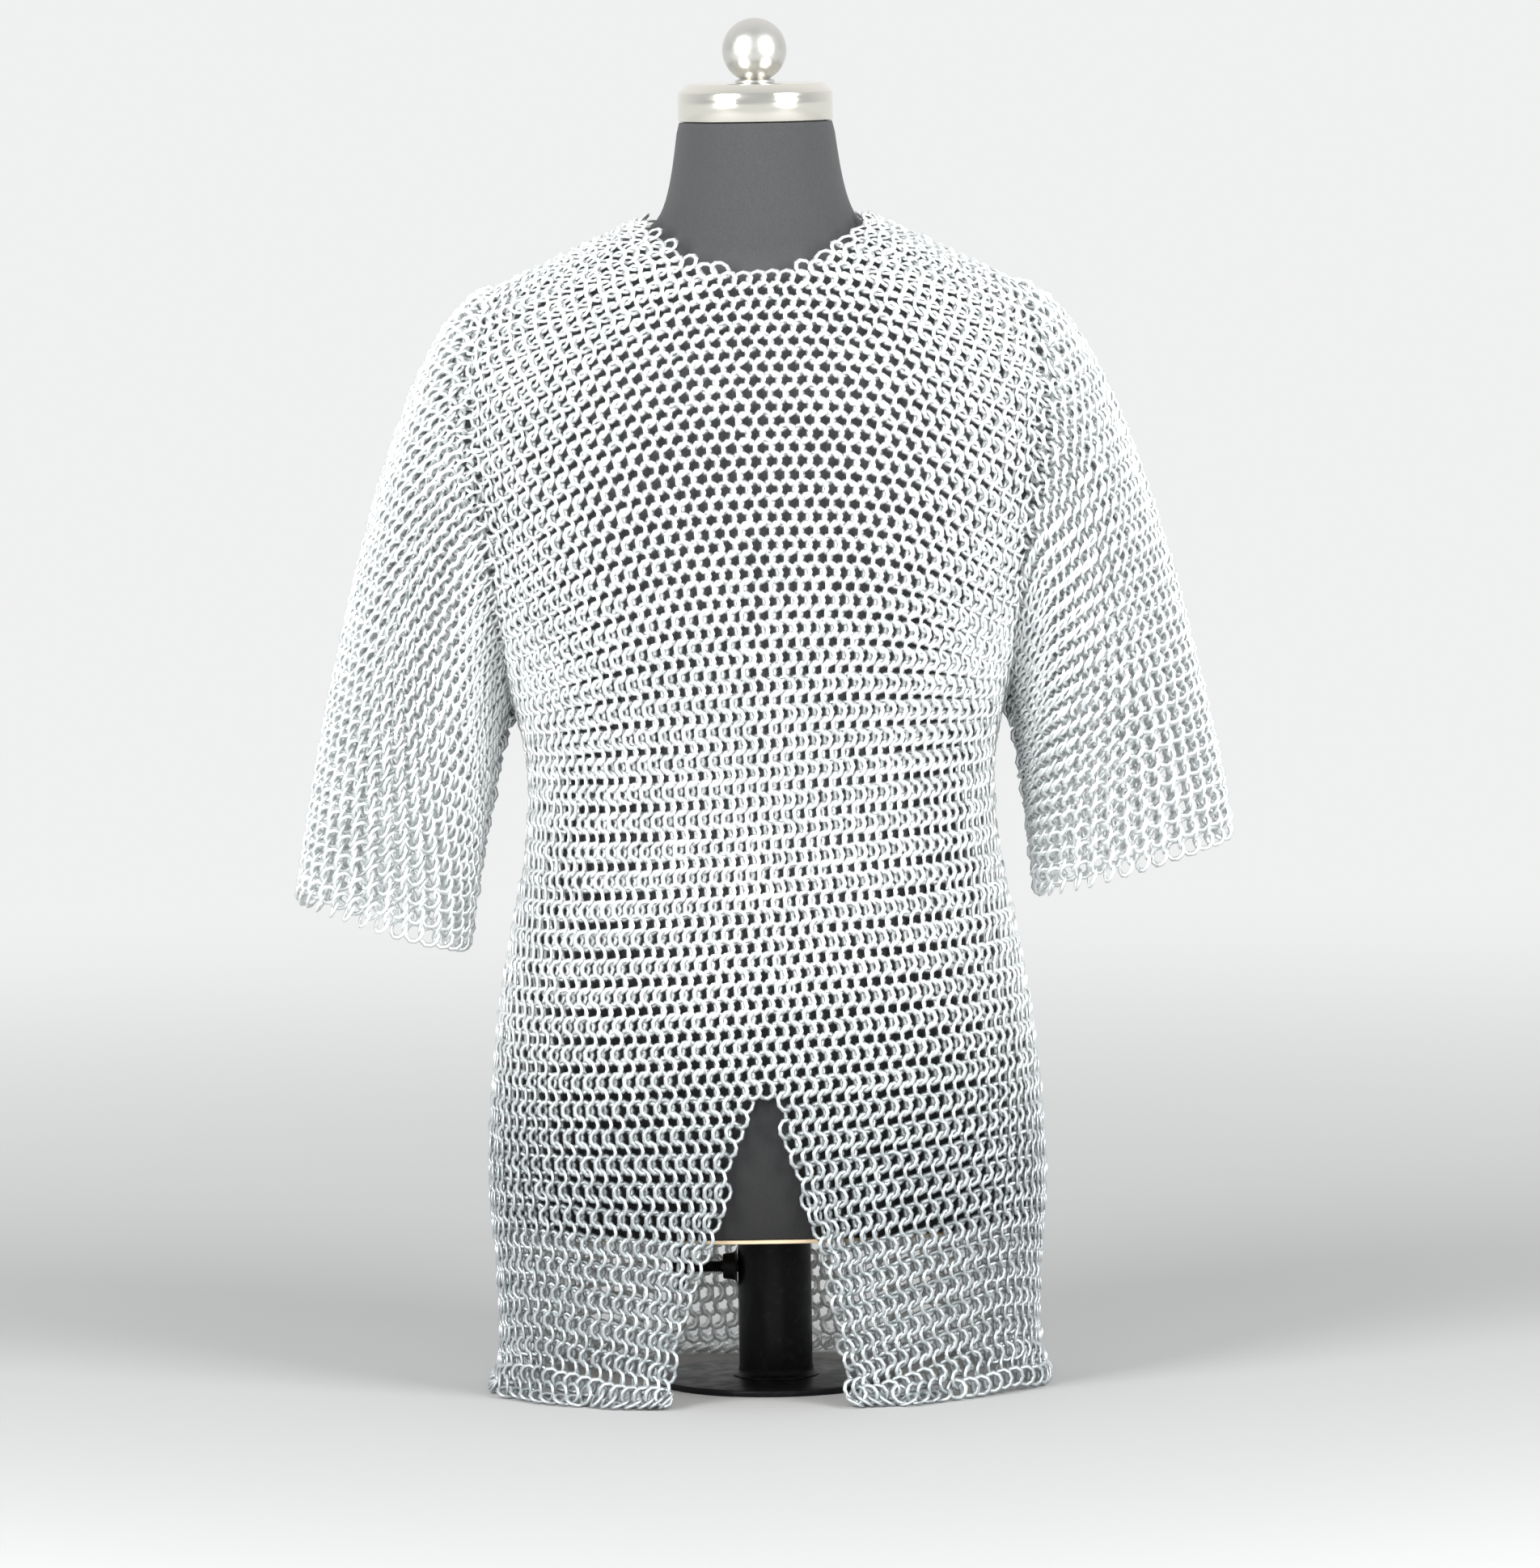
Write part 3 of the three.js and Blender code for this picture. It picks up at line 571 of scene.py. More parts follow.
def hanging_point(turn, level):
    """The cloth's middle, with what would reach below the table laid out flat on it."""
    point = cloth_point(turn, np.maximum(level, 0))
    outward = torso_normal(turn, np.maximum(level, 0))
    lying = np.clip(1 - level / FLOOR_BEND, 0, 1)[..., None]
    point = point + outward * (LYING_SPREAD * np.maximum(-level, 0)[..., None] - LYING_INSET * lying)
    point[..., 2] = np.where(level < YOKE, np.maximum(point[..., 2], LYING_HEIGHT), point[..., 2])
    turned_up = outward * (1 - 0.85 * lying)
    turned_up[..., 2] += 0.85 * lying[..., 0]
    return point, turned_up / np.linalg.norm(turned_up, axis=-1, keepdims=True)


def crowd(places, edge, height):
    """Moves rings towards the slit's edge, where the rows are pushed together as it opens."""
    beside = np.maximum(places - edge, 0)
    pull = CROWD * (1 - 0.85 * ease_between(height, CROWD_FULL, CROWD_TOP)) * (height < SLIT_TOP)
    return places - pull * (1 - np.exp(-beside / CROWD_LENGTH)) * (1 - ease_between(beside, 50, 260))


def row_on_half(side, climb_at_front, odd, pitch_over):
    """Places of one row's rings on one half of the body: turns, levels, and the pitch."""
    turns = side * HALF_TURNS
    flat_height = min(YOKE, YOKE + climb_at_front)
    levels, there = level_at(climb_at_front + row_rise(turns, flat_height))
    whole_row = there.all()
    found = []
    for part, heading in [(slice(None), side)] if whole_row else [(slice(0, 91), side), (slice(180, 89, -1), -side)]:
        points = hanging_point(turns[part], levels[part])[0]
        length = running_length(points)
        pitch = 2 * length[-1] / RINGS_ROUND if whole_row else pitch_over
        places = (np.arange(0, RINGS_ROUND // 2 + 1) + 0.5 * odd) * pitch
        places = places[places <= length[-1] + 1e-6]
        if side < 0 and not odd:
            places = places[1:-1] if whole_row else places[1:]
        places = places[np.interp(places, length, there[part]) > 0.99]
        edge = length[np.argmax(slit_distance(turns[part], points) > 0)]
        places = crowd(places, edge, flat_height)
        nudge = 2.0
        for_each = [np.clip(places + d, 0, length[-1]) for d in (0, -nudge, nudge)]
        at = [(np.interp(s, length, turns[part]), np.interp(s, length, levels[part])) for s in for_each]
        found.append((at, heading))
    return found, (pitch if whole_row else pitch_over)


print("dome from the yoke to the ridge:", dome_climb[-1].min().round(), "to", dome_climb[-1].max().round(), "mm")

# %% [markdown]
# ## Rings for the body and the skirts
#
# Row by row from the table to the neck, each ring gets a place, the direction of its row and the
# direction out of the cloth. Its place says which panel it belongs to.

# %% Rings of the body
rng = np.random.default_rng(7)
PLACE_PLAY = 0.25
LEAN_PLAY = math.radians(3.5)
rings = {name: {"place": [], "row": [], "out": [], "lean": [], "nod": []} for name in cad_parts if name.startswith("mail_")}


def panel_of(turn, level, point):
    front = abs((turn + 180) % 360 - 180) < 90
    if level > WAIST:
        return "mail_front" if front else "mail_back"
    if not front:
        return "mail_skirt_back"
    return "mail_skirt_front_left" if point[0] > SIDE_LEAN else "mail_skirt_front_right"


LYING_ROWS = 1
climb = -YOKE - LYING_ROWS * 9.0
row_number = 0
pitch_over = 9.9
while climb < dome_climb[-1].max() + 2:
    odd = row_number % 2
    pitches = []
    for side in (1, -1):
        parts, pitch = row_on_half(side, climb, odd, pitch_over)
        pitches.append(pitch)
        for (middle, before, after), heading in parts:
            turn, level = middle
            point, out = hanging_point(turn, level)
            row_way = (hanging_point(*after)[0] - hanging_point(*before)[0]) * heading
            to_slit = slit_distance(turn, point)
            keep = in_the_cloth(turn, level, point) & (level > -4 - 8 * np.exp(-to_slit / 25))
            lean = (1 if odd else -1) * (1 + 1.1 * np.exp(-to_slit / 18))
            for k in np.flatnonzero(keep):
                panel = rings[panel_of(turn[k], level[k], point[k])]
                panel["place"].append(point[k])
                panel["row"].append(row_way[k])
                panel["out"].append(out[k])
                panel["lean"].append(lean[k])
                panel["nod"].append(0)
    pitch_over = sum(pitches) / len(pitches)
    climb += row_spacing(pitch_over)
    row_number += 1
print("rows:", row_number, "rings:", {name: len(r["place"]) for name, r in rings.items()})

# %% [markdown]
# ## Rings for the sleeves
#
# A sleeve's rows run along the arm, so that the mail hangs open from the shoulder and closes on the
# wrist. Its surface is a bundle of curves, one from each point round the armhole to its point round the
# cuff. The first row lies along the top of the arm, and the rest are laid beside it at even distances
# round to the seam under the arm, where they run out. Here the mail hangs along its rows, so they are drawn
# out to a long pitch and close up on each other, and their rings turn edge on, one way and the other.

# %% Sleeve surface
AROUND = 28
ROW_CROWD = 1.25
SLEEVES = {
    "mail_sleeve_right": {"side": -1, "outer": (305, 324), "under": (201, 291), "depth": 52},
    "mail_sleeve_left": {"side": 1, "outer": (301, 356), "under": (180, 320), "depth": 49},
}
START = {"over": 20, "under": 48, "over_reach": 210, "under_reach": 75, "forward": 0.3}
END = {"over": 8, "under": 10, "over_reach": 180, "under_reach": 120}


def armhole_edge(side, step):
    """The armhole's edge in the middle of the mail, from the shoulder down the front and up the back."""
    half = AROUND / 2
    in_front = step <= half
    down = np.where(in_front, step, AROUND - step) / half
    level = mix(ARMPIT, TOP, 1 - down**ROW_CROWD)
    angle = cloth_turn(level)
    edge = cloth_point(side * np.where(in_front, angle, 180 - angle), level)
    edge[..., 1] *= np.minimum(1, np.minimum(down, 1 - down) * half)
    return edge


def sleeve_point(sleeve, step, length):
    """A point of the sleeve. step goes round it, 0 to 28, and length along it, 0 to 1."""
    side, angle = sleeve["side"], 2 * np.pi * step / AROUND
    below = (1 - np.cos(angle)) / 2
    slope = np.radians(mix(START["over"], START["under"], below))
    leave = np.stack([side * np.cos(slope), -START["forward"] * np.sin(angle), -np.sin(slope)], axis=-1)
    leave *= (mix(START["over_reach"], START["under_reach"], below) / np.linalg.norm(leave, axis=-1))[..., None]
    outer, under = np.array(sleeve["outer"], float), np.array(sleeve["under"], float)
    wide, middle = (outer - under) / 2, (outer + under) / 2
    splay = np.radians(mix(END["over"], END["under"], below))
    arrive = np.stack([side * np.sin(splay), 0 * splay, -np.cos(splay)], axis=-1)
    arrive *= mix(END["over_reach"], END["under_reach"], below)[..., None]
    end = np.stack([
        side * (middle[0] + wide[0] * np.cos(angle)),
        -sleeve["depth"] * np.sin(angle),
        middle[1] + wide[1] * np.cos(angle),
    ], axis=-1)
    t = np.asarray(length)[..., None]
    return (
        armhole_edge(side, step) * (1 + 2 * t) * (1 - t) ** 2
        + leave * t * (1 - t) ** 2 + end * t * t * (3 - 2 * t) - arrive * t * t * (1 - t)
    )


print("cuff, outer edge:", sleeve_point(SLEEVES["mail_sleeve_left"], np.array(0.0), 1.0).round(1))

# %% Rings of the sleeves
SLEEVE_PITCH = 12.5
SLEEVE_ROW = 5.8
SLEEVE_NOD = 0.85
ALONG_STEPS, HALF_STEPS = 91, 57
CUFF_ROOM = 4.5
SEAM_LAP = 4.0


def lay_sleeve(name, sleeve):
    side = sleeve["side"]
    lengths = np.linspace(1, 0, ALONG_STEPS)
    panel = rings[name]
    for front in (True, False):
        steps = np.linspace(0, AROUND / 2, HALF_STEPS)
        steps = steps if front else AROUND - steps
        grid = sleeve_point(sleeve, steps[None, :], lengths[:, None] * np.ones_like(steps))
        reach = np.array([running_length(around) for around in grid])
        travel_beside = np.zeros(ALONG_STEPS)
        for row in range(int(reach.max() / SLEEVE_ROW + 0.5)):
            aside = (row + 0.5) * SLEEVE_ROW
            number = row if front else -1 - row
            inside = np.flatnonzero(reach[:, -1] > aside)
            if len(inside) < 3:
                continue
            part = slice(inside[0], inside[-1] + 1)
            step = np.array([np.interp(aside, around, steps) for around in reach[part]])
            length = lengths[part]
            travel = travel_beside[part][0] + running_length(sleeve_point(sleeve, step, length))
            travel_beside[part] = travel
            places = np.arange(CUFF_ROOM + (number % 2) * SLEEVE_PITCH / 2, travel[-1] + SEAM_LAP, SLEEVE_PITCH)
            places = np.minimum(places[places >= travel[0]], travel[-1])
            at = [(np.interp(places + d, travel, step), np.interp(places + d, travel, length)) for d in (0, -2, 2)]
            point = sleeve_point(sleeve, *at[0])
            row_way = sleeve_point(sleeve, *at[1]) - sleeve_point(sleeve, *at[2])
            beside = sleeve_point(sleeve, at[0][0] + 0.2, at[0][1]) - sleeve_point(sleeve, at[0][0] - 0.2, at[0][1])
            panel["place"].extend(point)
            panel["row"].extend(row_way)
            panel["out"].extend(cross_unit(beside, row_way) * side)
            panel["lean"].extend([1 if number % 2 else -1] * len(places))
            panel["nod"].extend([SLEEVE_NOD if number % 2 else -SLEEVE_NOD] * len(places))


for name, sleeve in SLEEVES.items():
    lay_sleeve(name, sleeve)
    print(name, len(rings[name]["place"]), "rings")

# %% [markdown]
# ## From places to rings
#
# Each panel is a cloud of points that carry a rotation and a tone. A small Geometry Nodes tree sets the
# ring on every point and makes the instances real, and the result is kept as the piece's own mesh.
# Copying one ring this way takes a second or two for the whole shirt.

# %% Instancing tree
def ring_setter():
    tree = bpy.data.node_groups.new("set_rings", "GeometryNodeTree")
    tree.interface.new_socket("Geometry", in_out="INPUT", socket_type="NodeSocketGeometry")
    tree.interface.new_socket("Geometry", in_out="OUTPUT", socket_type="NodeSocketGeometry")
    entry = tree.nodes.new("NodeGroupInput")
    result = tree.nodes.new("NodeGroupOutput")
    ring = tree.nodes.new("GeometryNodeObjectInfo")
    ring.inputs["Object"].default_value = template
    turn = tree.nodes.new("GeometryNodeInputNamedAttribute")
    turn.data_type = "FLOAT_VECTOR"
    turn.inputs["Name"].default_value = "turn"
    place = tree.nodes.new("GeometryNodeInstanceOnPoints")
    real = tree.nodes.new("GeometryNodeRealizeInstances")
    tree.links.new(entry.outputs[0], place.inputs["Points"])
    tree.links.new(ring.outputs["Geometry"], place.inputs["Instance"])
    tree.links.new(turn.outputs["Attribute"], place.inputs["Rotation"])
    tree.links.new(place.outputs["Instances"], real.inputs["Geometry"])
    tree.links.new(real.outputs["Geometry"], result.inputs[0])
    return tree


set_rings = ring_setter()
# Painted shade: low and in front, on the front skirts, the rings' tones are pulled down for the light that falls off
# there.
SHADED_TONES, LIT_TONES_FROM = 0.25, 0.66
SHADED_BELOW, LIT_ABOVE = 130, 290
SHADED_FRONT, LIT_BACK = -30, 80
TABLE_ROOM = 0.0002


def unit(v):
    return v / np.linalg.norm(v, axis=-1, keepdims=True)


def ring_turns(panel):
    """A rotation for each ring, as Euler angles: it leans along its row, a little more or less."""
    out = unit(np.array(panel["out"]))
    row = np.array(panel["row"])
    row = unit(row - out * (row * out).sum(-1, keepdims=True))
    lean = np.array(panel["lean"]) * RING_LEAN + rng.normal(0, LEAN_PLAY, len(out))
    nod = np.array(panel["nod"]) + rng.normal(0, LEAN_PLAY, len(out))
    across = np.cross(out, row)
    facing = unit(
        out * (np.cos(lean) * np.cos(nod))[:, None] + row * np.sin(lean)[:, None] + across * np.sin(nod)[:, None]
    )
    side = unit(np.cross(across, facing))
    upright = np.cross(facing, side)
    return [Matrix((s, u, f)).transposed().to_euler()[:] for s, u, f in zip(side, upright, facing)]


def ring_tones_and_shade(places):
    """Each ring's tone, from 0 to 1: random, and pulled down low in the front skirts as painted shade."""
    chance = rng.random(len(places))
    behind = ease_between(places[:, 1], SHADED_FRONT, LIT_BACK)
    bright = np.maximum(ease_between(places[:, 2], SHADED_BELOW, LIT_ABOVE), behind)
    return mix(SHADED_TONES * chance, mix(LIT_TONES_FROM, 1, chance), bright)


def lift_to_table(mesh):
    """Lifts each ring whose wire would dip into the table."""
    corners = np.empty(len(mesh.vertices) * 3)
    mesh.vertices.foreach_get("co", corners)
    by_ring = corners.reshape(-1, RING_STEPS * WIRE_SIDES, 3)
    by_ring[:, :, 2] += np.maximum(0, TABLE_ROOM - by_ring[:, :, 2].min(axis=1))[:, None]
    mesh.vertices.foreach_set("co", by_ring.ravel())
    mesh.update()


def ring_panel(node):
    """The piece of mail that stands for a CAD node."""
    panel = rings[node]
    places = np.array(panel["place"])
    tones = ring_tones_and_shade(places)
    places = (places + rng.normal(0, PLACE_PLAY, places.shape)) * MM
    cloud = bpy.data.meshes.new(node + "_points")
    cloud.vertices.add(len(places))
    cloud.vertices.foreach_set("co", places.ravel())
    cloud.attributes.new("turn", "FLOAT_VECTOR", "POINT").data.foreach_set("vector", np.ravel(ring_turns(panel)))
    cloud.attributes.new("tone", "FLOAT", "POINT").data.foreach_set("value", tones)
    points = bpy.data.objects.new(node + "_points", cloud)
    bpy.context.scene.collection.objects.link(points)
    points.modifiers.new("rings", "NODES").node_group = set_rings
    made = bpy.data.meshes.new_from_object(points.evaluated_get(bpy.context.evaluated_depsgraph_get()))
    bpy.data.objects.remove(points)
    lift_to_table(made)
    piece = bpy.data.objects.new(node.replace("mail_", "rings_"), made)
    bpy.context.scene.collection.objects.link(piece)
    made.attributes.remove(made.attributes["turn"])
    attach(piece, DRESSED)
    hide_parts(node)
    return piece


# %% Mail panels
CUTS = {
    "mail_front": (0.54, 0.43), "mail_back": (0.54, 0.45), "mail_skirt_front_right": (0.28, 0.42),
    "mail_skirt_front_left": (0.28, 0.42), "mail_skirt_back": (0.54, 0.42),
    "mail_sleeve_right": (0.50, 0.46), "mail_sleeve_left": (0.48, 0.45),
}
mail_pieces = []
for node, flat in CUTS.items():
    piece = ring_panel(node)
    mail_pieces.append(piece)
bpy.data.objects.remove(template)

# %% [markdown]
# ## The form
#
# The form is a smooth hard shell under a tight black jersey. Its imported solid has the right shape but
# flat faces, so a copy has its doubled points merged and its triangles joined to quads, and a
# subdivision rounds it. The edge round its foot is creased, because it is a real edge.

# %% Smooth pieces
def piece_from(mesh, name, finish, body=DRESSED, sharp=40):
    """Turns a bmesh into a piece that rides on a body, smooth but for its real edges."""
    for face in mesh.faces:
        face.smooth = True
    for edge in mesh.edges:
        edge.smooth = len(edge.link_faces) == 2 and edge.calc_face_angle(0) < math.radians(sharp)
    data = bpy.data.meshes.new(name)
    mesh.to_mesh(data)
    mesh.free()
    data.materials.append(finish)
    piece = bpy.data.objects.new(name, data)
    bpy.context.scene.collection.objects.link(piece)
    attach(piece, body)
    return piece


def form_shell():
    mesh = bmesh.new()
    mesh.from_mesh(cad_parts["form_torso"].data)
    bmesh.ops.remove_doubles(mesh, verts=mesh.verts, dist=1e-5)
    bmesh.ops.join_triangles(
        mesh, faces=mesh.faces, angle_face_threshold=math.radians(50), angle_shape_threshold=math.radians(60)
    )
    foot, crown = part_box("form_torso")[0].z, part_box("form_torso")[1].z
    crease = mesh.edges.layers.float.new("crease_edge")
    for edge in mesh.edges:
        heights = [corner.co.z for corner in edge.verts]
        rim = edge.calc_face_angle(0) > math.radians(60)
        if rim and (max(heights) < foot + 0.001 or min(heights) > crown - 0.001):
            edge[crease] = 0.9
    piece = piece_from(mesh, "form_cover", jersey)
    rounder = piece.modifiers.new("rounder", "SUBSURF")
    rounder.levels = rounder.render_levels = 2
    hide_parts("form_torso")
    return piece


form = form_shell()
print("form faces before rounding:", len(form.data.polygons))

# %% [markdown]
# ## Turned pieces
#
# The cap, the ball, the pipe, its rod, the collar, the base plate and the clamp are all turned. Each is a
# half profile spun once round, and the sharp rims then get a small bevel, because a rim without one
# catches no light.

# %% Turned pieces
def turned(name, node, profile, finish, body=DRESSED, steps=96, bevel=0.0, along=None):
    """A profile of (radius, height) in metres, spun round Z, or round -X when along is a height."""
    mesh = bmesh.new()
    corners = [mesh.verts.new((radius, 0, z)) for radius, z in profile]
    edges = [mesh.edges.new(pair) for pair in zip(corners, corners[1:])]
    if profile[0][0] > 0:
        edges.append(mesh.edges.new((corners[-1], corners[0])))
    bmesh.ops.spin(
        mesh, geom=corners + edges, cent=(0, 0, 0), axis=(0, 0, 1),
        angle=2 * math.pi, steps=steps, use_merge=True,
    )
    bmesh.ops.remove_doubles(mesh, verts=mesh.verts, dist=1e-6)
    bmesh.ops.recalc_face_normals(mesh, faces=mesh.faces)
    if bevel:
        rims = [edge for edge in mesh.edges if edge.calc_face_angle(0) > math.radians(35)]
        bmesh.ops.bevel(mesh, geom=rims, offset=bevel, segments=3, profile=0.5, affect="EDGES", material=-1)
    if along is not None:
        bmesh.ops.rotate(mesh, verts=mesh.verts, cent=(0, 0, 0), matrix=Matrix.Rotation(-math.pi / 2, 3, "Y"))
        bmesh.ops.translate(mesh, verts=mesh.verts, vec=(0, 0, along))
    piece = piece_from(mesh, name, finish, body, sharp=50)
    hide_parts(node)
    return piece


def arc(middle_radius, middle_height, radius, start, end, count):
    """Points of a round stretch of a profile, its angle counted in degrees from the radius outwards."""
    angles = np.radians(np.linspace(start, end, count))
    return [(middle_radius + radius * math.cos(a), middle_height + radius * math.sin(a)) for a in angles]


cap_low, cap_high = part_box("neck_cap")
CAP_SLOPE, CAP_EASE = 0.0062, 0.0009
cap_profile = [(0, cap_low.z), (cap_high.x - 0.0006, cap_low.z), (cap_high.x, cap_low.z + 0.0006)]
cap_profile += [(cap_high.x, cap_high.z - CAP_SLOPE), (cap_high.x - CAP_EASE / 2, cap_high.z - CAP_SLOPE + CAP_EASE)]
cap_profile += [(cap_high.x - CAP_SLOPE + CAP_EASE, cap_high.z - CAP_EASE / 2), (cap_high.x - CAP_SLOPE, cap_high.z)]
cap_profile += [(0, cap_high.z)]
turned("cap", "neck_cap", cap_profile, nickel)

ball_low, ball_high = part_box("finial_ball")
BALL_RADIUS, BALL_NECK, BALL_FOOT = ball_high.x, 0.0095, 0.013
ball_middle = ball_high.z - BALL_RADIUS
neck_angle = -math.degrees(math.acos(BALL_NECK / BALL_RADIUS))
ball_profile = [(0, ball_low.z), (BALL_FOOT, ball_low.z)] + arc(BALL_FOOT - 0.0008, ball_low.z + 0.001, 0.0008, 0, 90, 4)
ball_profile += arc(0, ball_middle, BALL_RADIUS, neck_angle, 90, 28)
ball_profile[-1] = (0, ball_high.z)
turned("ball", "finial_ball", ball_profile, satin_nickel)

pole_low, pole_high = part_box("stand_pole")
PIPE_BORE = 0.0212
pole_profile = [(PIPE_BORE, pole_low.z), (pole_high.x, pole_low.z), (pole_high.x, pole_high.z), (PIPE_BORE, pole_high.z)]
turned("pipe", "stand_pole", pole_profile, black_paint, bevel=0.0006)

rod_low, rod_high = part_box("form_rod")
rod_profile = [(0, rod_low.z), (rod_high.x, rod_low.z), (rod_high.x, rod_high.z), (0, rod_high.z)]
turned("rod", "form_rod", rod_profile, black_paint, bevel=0.0006)

collar_low, collar_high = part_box("stand_collar")
COLLAR_BORE = 0.02465
weld = arc(collar_high.x + 0.0006, collar_high.z + 0.0002, 0.0048, 262, 188, 8)
collar_profile = [(COLLAR_BORE, collar_low.z), (collar_high.x, collar_low.z)] + weld + [(COLLAR_BORE, collar_high.z)]
turned("collar", "stand_collar", collar_profile, black_paint)

base_low, base_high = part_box("stand_base")
base_profile = [(0, base_low.z), (base_high.x, base_low.z), (base_high.x, base_high.z), (0, base_high.z)]
turned("base_plate", "stand_base", base_profile, black_paint, steps=128, bevel=0.001)
print("turned pieces made")

# %% Board under the form
def board():
    low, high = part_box("form_board")
    outline_turns = np.linspace(-180, 180, 145)[:-1]
    inset = mix(4.0, 14.0, ease_between(np.abs(outline_turns), 20, 45))[:, None]
    thick = 0.0024
    edge = torso_point(outline_turns, 108.3) - torso_normal(outline_turns, 108.3) * inset
    mesh = bmesh.new()
    ring = bmesh.ops.create_circle(mesh, segments=len(edge), radius=1, cap_ends=True)["verts"]
    for corner, spot in zip(ring, edge):
        corner.co = (spot[0] * MM, spot[1] * MM, high.z - thick)
    lifted = bmesh.ops.extrude_face_region(mesh, geom=mesh.faces[:])["geom"]
    top = [v for v in lifted if isinstance(v, bmesh.types.BMVert)]
    bmesh.ops.translate(mesh, verts=top, vec=(0, 0, thick))
    bmesh.ops.recalc_face_normals(mesh, faces=mesh.faces)
    rims = [e for e in mesh.edges if e.calc_face_angle(0) > math.radians(60)]
    bmesh.ops.bevel(mesh, geom=rims, offset=0.0006, segments=2, profile=0.5, affect="EDGES", material=-1)
    piece = piece_from(mesh, "foot_board", board_wood)
    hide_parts("form_board")


board()

# %% [markdown]
# ## The clamp
#
# A boss is welded to the pipe's side, and a screw with a cross bar goes through it to grip the rod. The
# screw turns, so it rides on its own body.

# %% Clamp boss and screw
CLAMP_HEIGHT = 0.076
boss_low, boss_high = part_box("clamp_boss")
CLAMP_BORE = 0.0045
boss_profile = [(CLAMP_BORE, -boss_high.x), (boss_high.y, -boss_high.x)]
boss_profile += arc(boss_high.y, -boss_high.x + 0.0045, 0.0042, 265, 185, 7)
boss_profile += [(0.0083, -boss_low.x - 0.0008), (0.0075, -boss_low.x), (CLAMP_BORE, -boss_low.x)]
turned("boss", "clamp_boss", boss_profile, black_paint, steps=48, along=CLAMP_HEIGHT)


def spun_in(mesh, profile, steps, turn=None, place=(0, 0, 0)):
    """Adds a profile of (radius, height) spun round Z to a bmesh, then turned and put in its place."""
    corners = [mesh.verts.new((radius, 0, z)) for radius, z in profile]
    edges = [mesh.edges.new(pair) for pair in zip(corners, corners[1:])]
    before = set(mesh.verts) - set(corners)
    bmesh.ops.spin(
        mesh, geom=corners + edges, cent=(0, 0, 0), axis=(0, 0, 1),
        angle=2 * math.pi, steps=steps, use_merge=True,
    )
    new = [corner for corner in mesh.verts if corner not in before]
    if turn is not None:
        bmesh.ops.rotate(mesh, verts=new, cent=(0, 0, 0), matrix=turn)
    bmesh.ops.translate(mesh, verts=new, vec=place)


def screw():
    """The spindle with its thread's crests, the eye, and the bar through it."""
    low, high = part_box("clamp_screw")
    eye_start, eye_end, spindle, eye = 0.055, -low.x, 0.004, 0.006
    profile = [(0, -high.x), (spindle - 0.0006, -high.x), (spindle, -high.x + 0.0006)]
    turn_of_thread = 0.0015
    for k in range(11):
        start = 0.0352 + k * turn_of_thread
        profile += [(spindle, start), (spindle - 0.0007, start + turn_of_thread / 2)]
    profile += [(spindle, eye_start - 0.002), (eye, eye_start)]
    profile += arc(eye - 0.001, eye_end - 0.001, 0.001, 0, 90, 4) + [(0, eye_end)]
    bar_half, bar_radius = (high.z - low.z) / 2, 0.003
    bar = arc(bar_radius - 0.0008, bar_half - 0.0008, 0.0008, 0, 90, 4)
    bar = [(0, -bar_half)] + [(radius, -z) for radius, z in reversed(bar)] + bar + [(0, bar_half)]
    mesh = bmesh.new()
    spun_in(mesh, profile, 40, Matrix.Rotation(-math.pi / 2, 3, "Y"), (0, 0, CLAMP_HEIGHT))
    spun_in(mesh, bar, 32, None, (-0.062, 0, CLAMP_HEIGHT))
    bmesh.ops.remove_doubles(mesh, verts=mesh.verts, dist=1e-6)
    bmesh.ops.recalc_face_normals(mesh, faces=mesh.faces)
    piece = piece_from(mesh, "screw", black_paint, CLAMP)
    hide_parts("clamp_screw")


screw()
print("clamp: boss and screw")

# %% [markdown]
# ## Floor and light
#
# The floor is plain and pale, and far back it gives its own light, as a lit backdrop would, so that the
# ground behind the shirt stays one even tone. The light is a small studio's: two tall soft boxes in front, one to each
# side, whose reflections stand as two bright bars on the cap and two bright spots on the ball. Bright
# metal shows what surrounds it, so the room is dim behind the camera and bright behind the shirt.

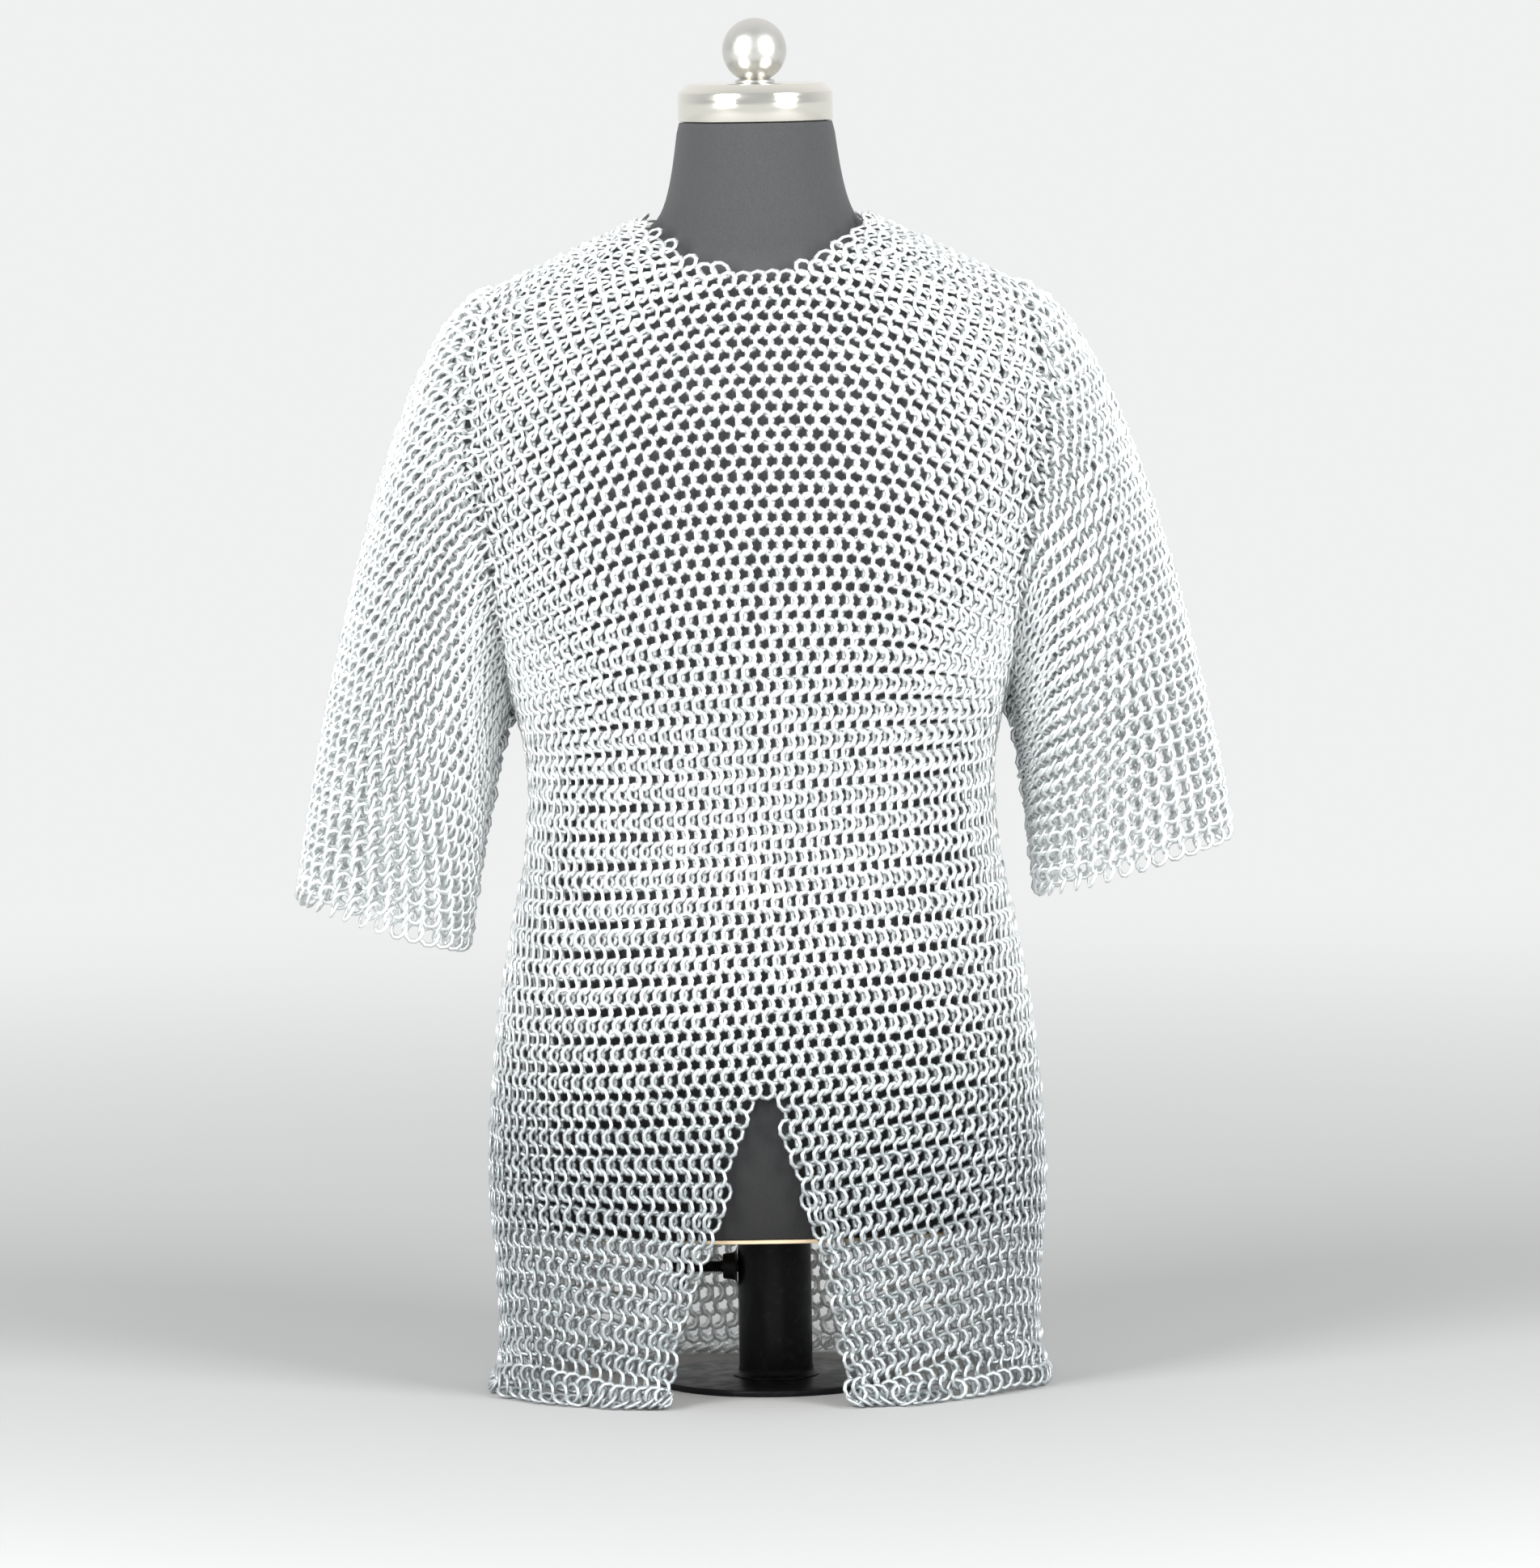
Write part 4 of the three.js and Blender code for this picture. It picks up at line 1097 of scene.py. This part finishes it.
# %% Floor
FLOOR_NEAR = (0.42, 0.42, 0.42)
FLOOR_FAR = (0.865, 0.875, 0.87)
floor_finish, nodes, links, shader = material("floor", (0.5, 0.5, 0.5), roughness=1.0)
shader.inputs["Specular IOR Level"].default_value = 0
floor_place = nodes.new("ShaderNodeTexCoord")
away = nodes.new("ShaderNodeVectorMath")
away.operation = "LENGTH"
links.new(floor_place.outputs["Object"], away.inputs[0])
fading_out = between(nodes, links, away.outputs["Value"], 0, 1, 0.8, 3.2)
glowing = between(nodes, links, away.outputs["Value"], 0, 1, 0.4, 3.2)
links.new(two_tone(nodes, links, fading_out, FLOOR_NEAR, (0, 0, 0), 0, 1), shader.inputs["Base Color"])
links.new(two_tone(nodes, links, glowing, (0, 0, 0), FLOOR_FAR, 0, 1), shader.inputs["Emission Color"])
shader.inputs["Emission Strength"].default_value = 1.0
mesh = bmesh.new()
bmesh.ops.create_circle(mesh, cap_ends=True, segments=96, radius=120)
floor_data = bpy.data.meshes.new("floor")
mesh.to_mesh(floor_data)
mesh.free()
floor_data.materials.append(floor_finish)
floor = bpy.data.objects.new("floor", floor_data)
floor.location.z = -0.0002
bpy.context.scene.collection.objects.link(floor)

# %% Lights and surroundings
def soft_box(name, place, size, power):
    data = bpy.data.lights.new(name, "AREA")
    data.shape = "RECTANGLE"
    data.size, data.size_y = size
    data.energy = power
    light = bpy.data.objects.new(name, data)
    light.location = place
    light.rotation_euler = (Vector((0, 0, 0.65)) - Vector(place)).to_track_quat("-Z", "Y").to_euler()
    bpy.context.scene.collection.objects.link(light)


soft_box("left_soft_box", (-1.65, -1.65, 1.45), (1.1, 2.0), 80)
soft_box("right_soft_box", (1.75, -1.6, 1.45), (1.1, 2.0), 80)

ROOM_FRONT = (0.62, 0.64, 0.65)
ROOM_BACK = (1.0, 1.0, 1.0)
world = bpy.data.worlds.new("surroundings")
world.use_nodes = True
bpy.context.scene.world = world
nodes, links = world.node_tree.nodes, world.node_tree.links
direction = nodes.new("ShaderNodeTexCoord")
toward = nodes.new("ShaderNodeVectorMath")
toward.operation = "DOT_PRODUCT"
toward.inputs[1].default_value = (0, 0.8, 0.6)
links.new(direction.outputs["Generated"], toward.inputs[0])
room = two_tone(nodes, links, toward.outputs["Value"], ROOM_FRONT, ROOM_BACK, 0.0, 0.9)
links.new(room, nodes["Background"].inputs["Color"])
nodes["Background"].inputs["Strength"].default_value = 0.95
bpy.context.scene.view_settings.view_transform = "Standard"
print("lights:", len(bpy.data.lights))
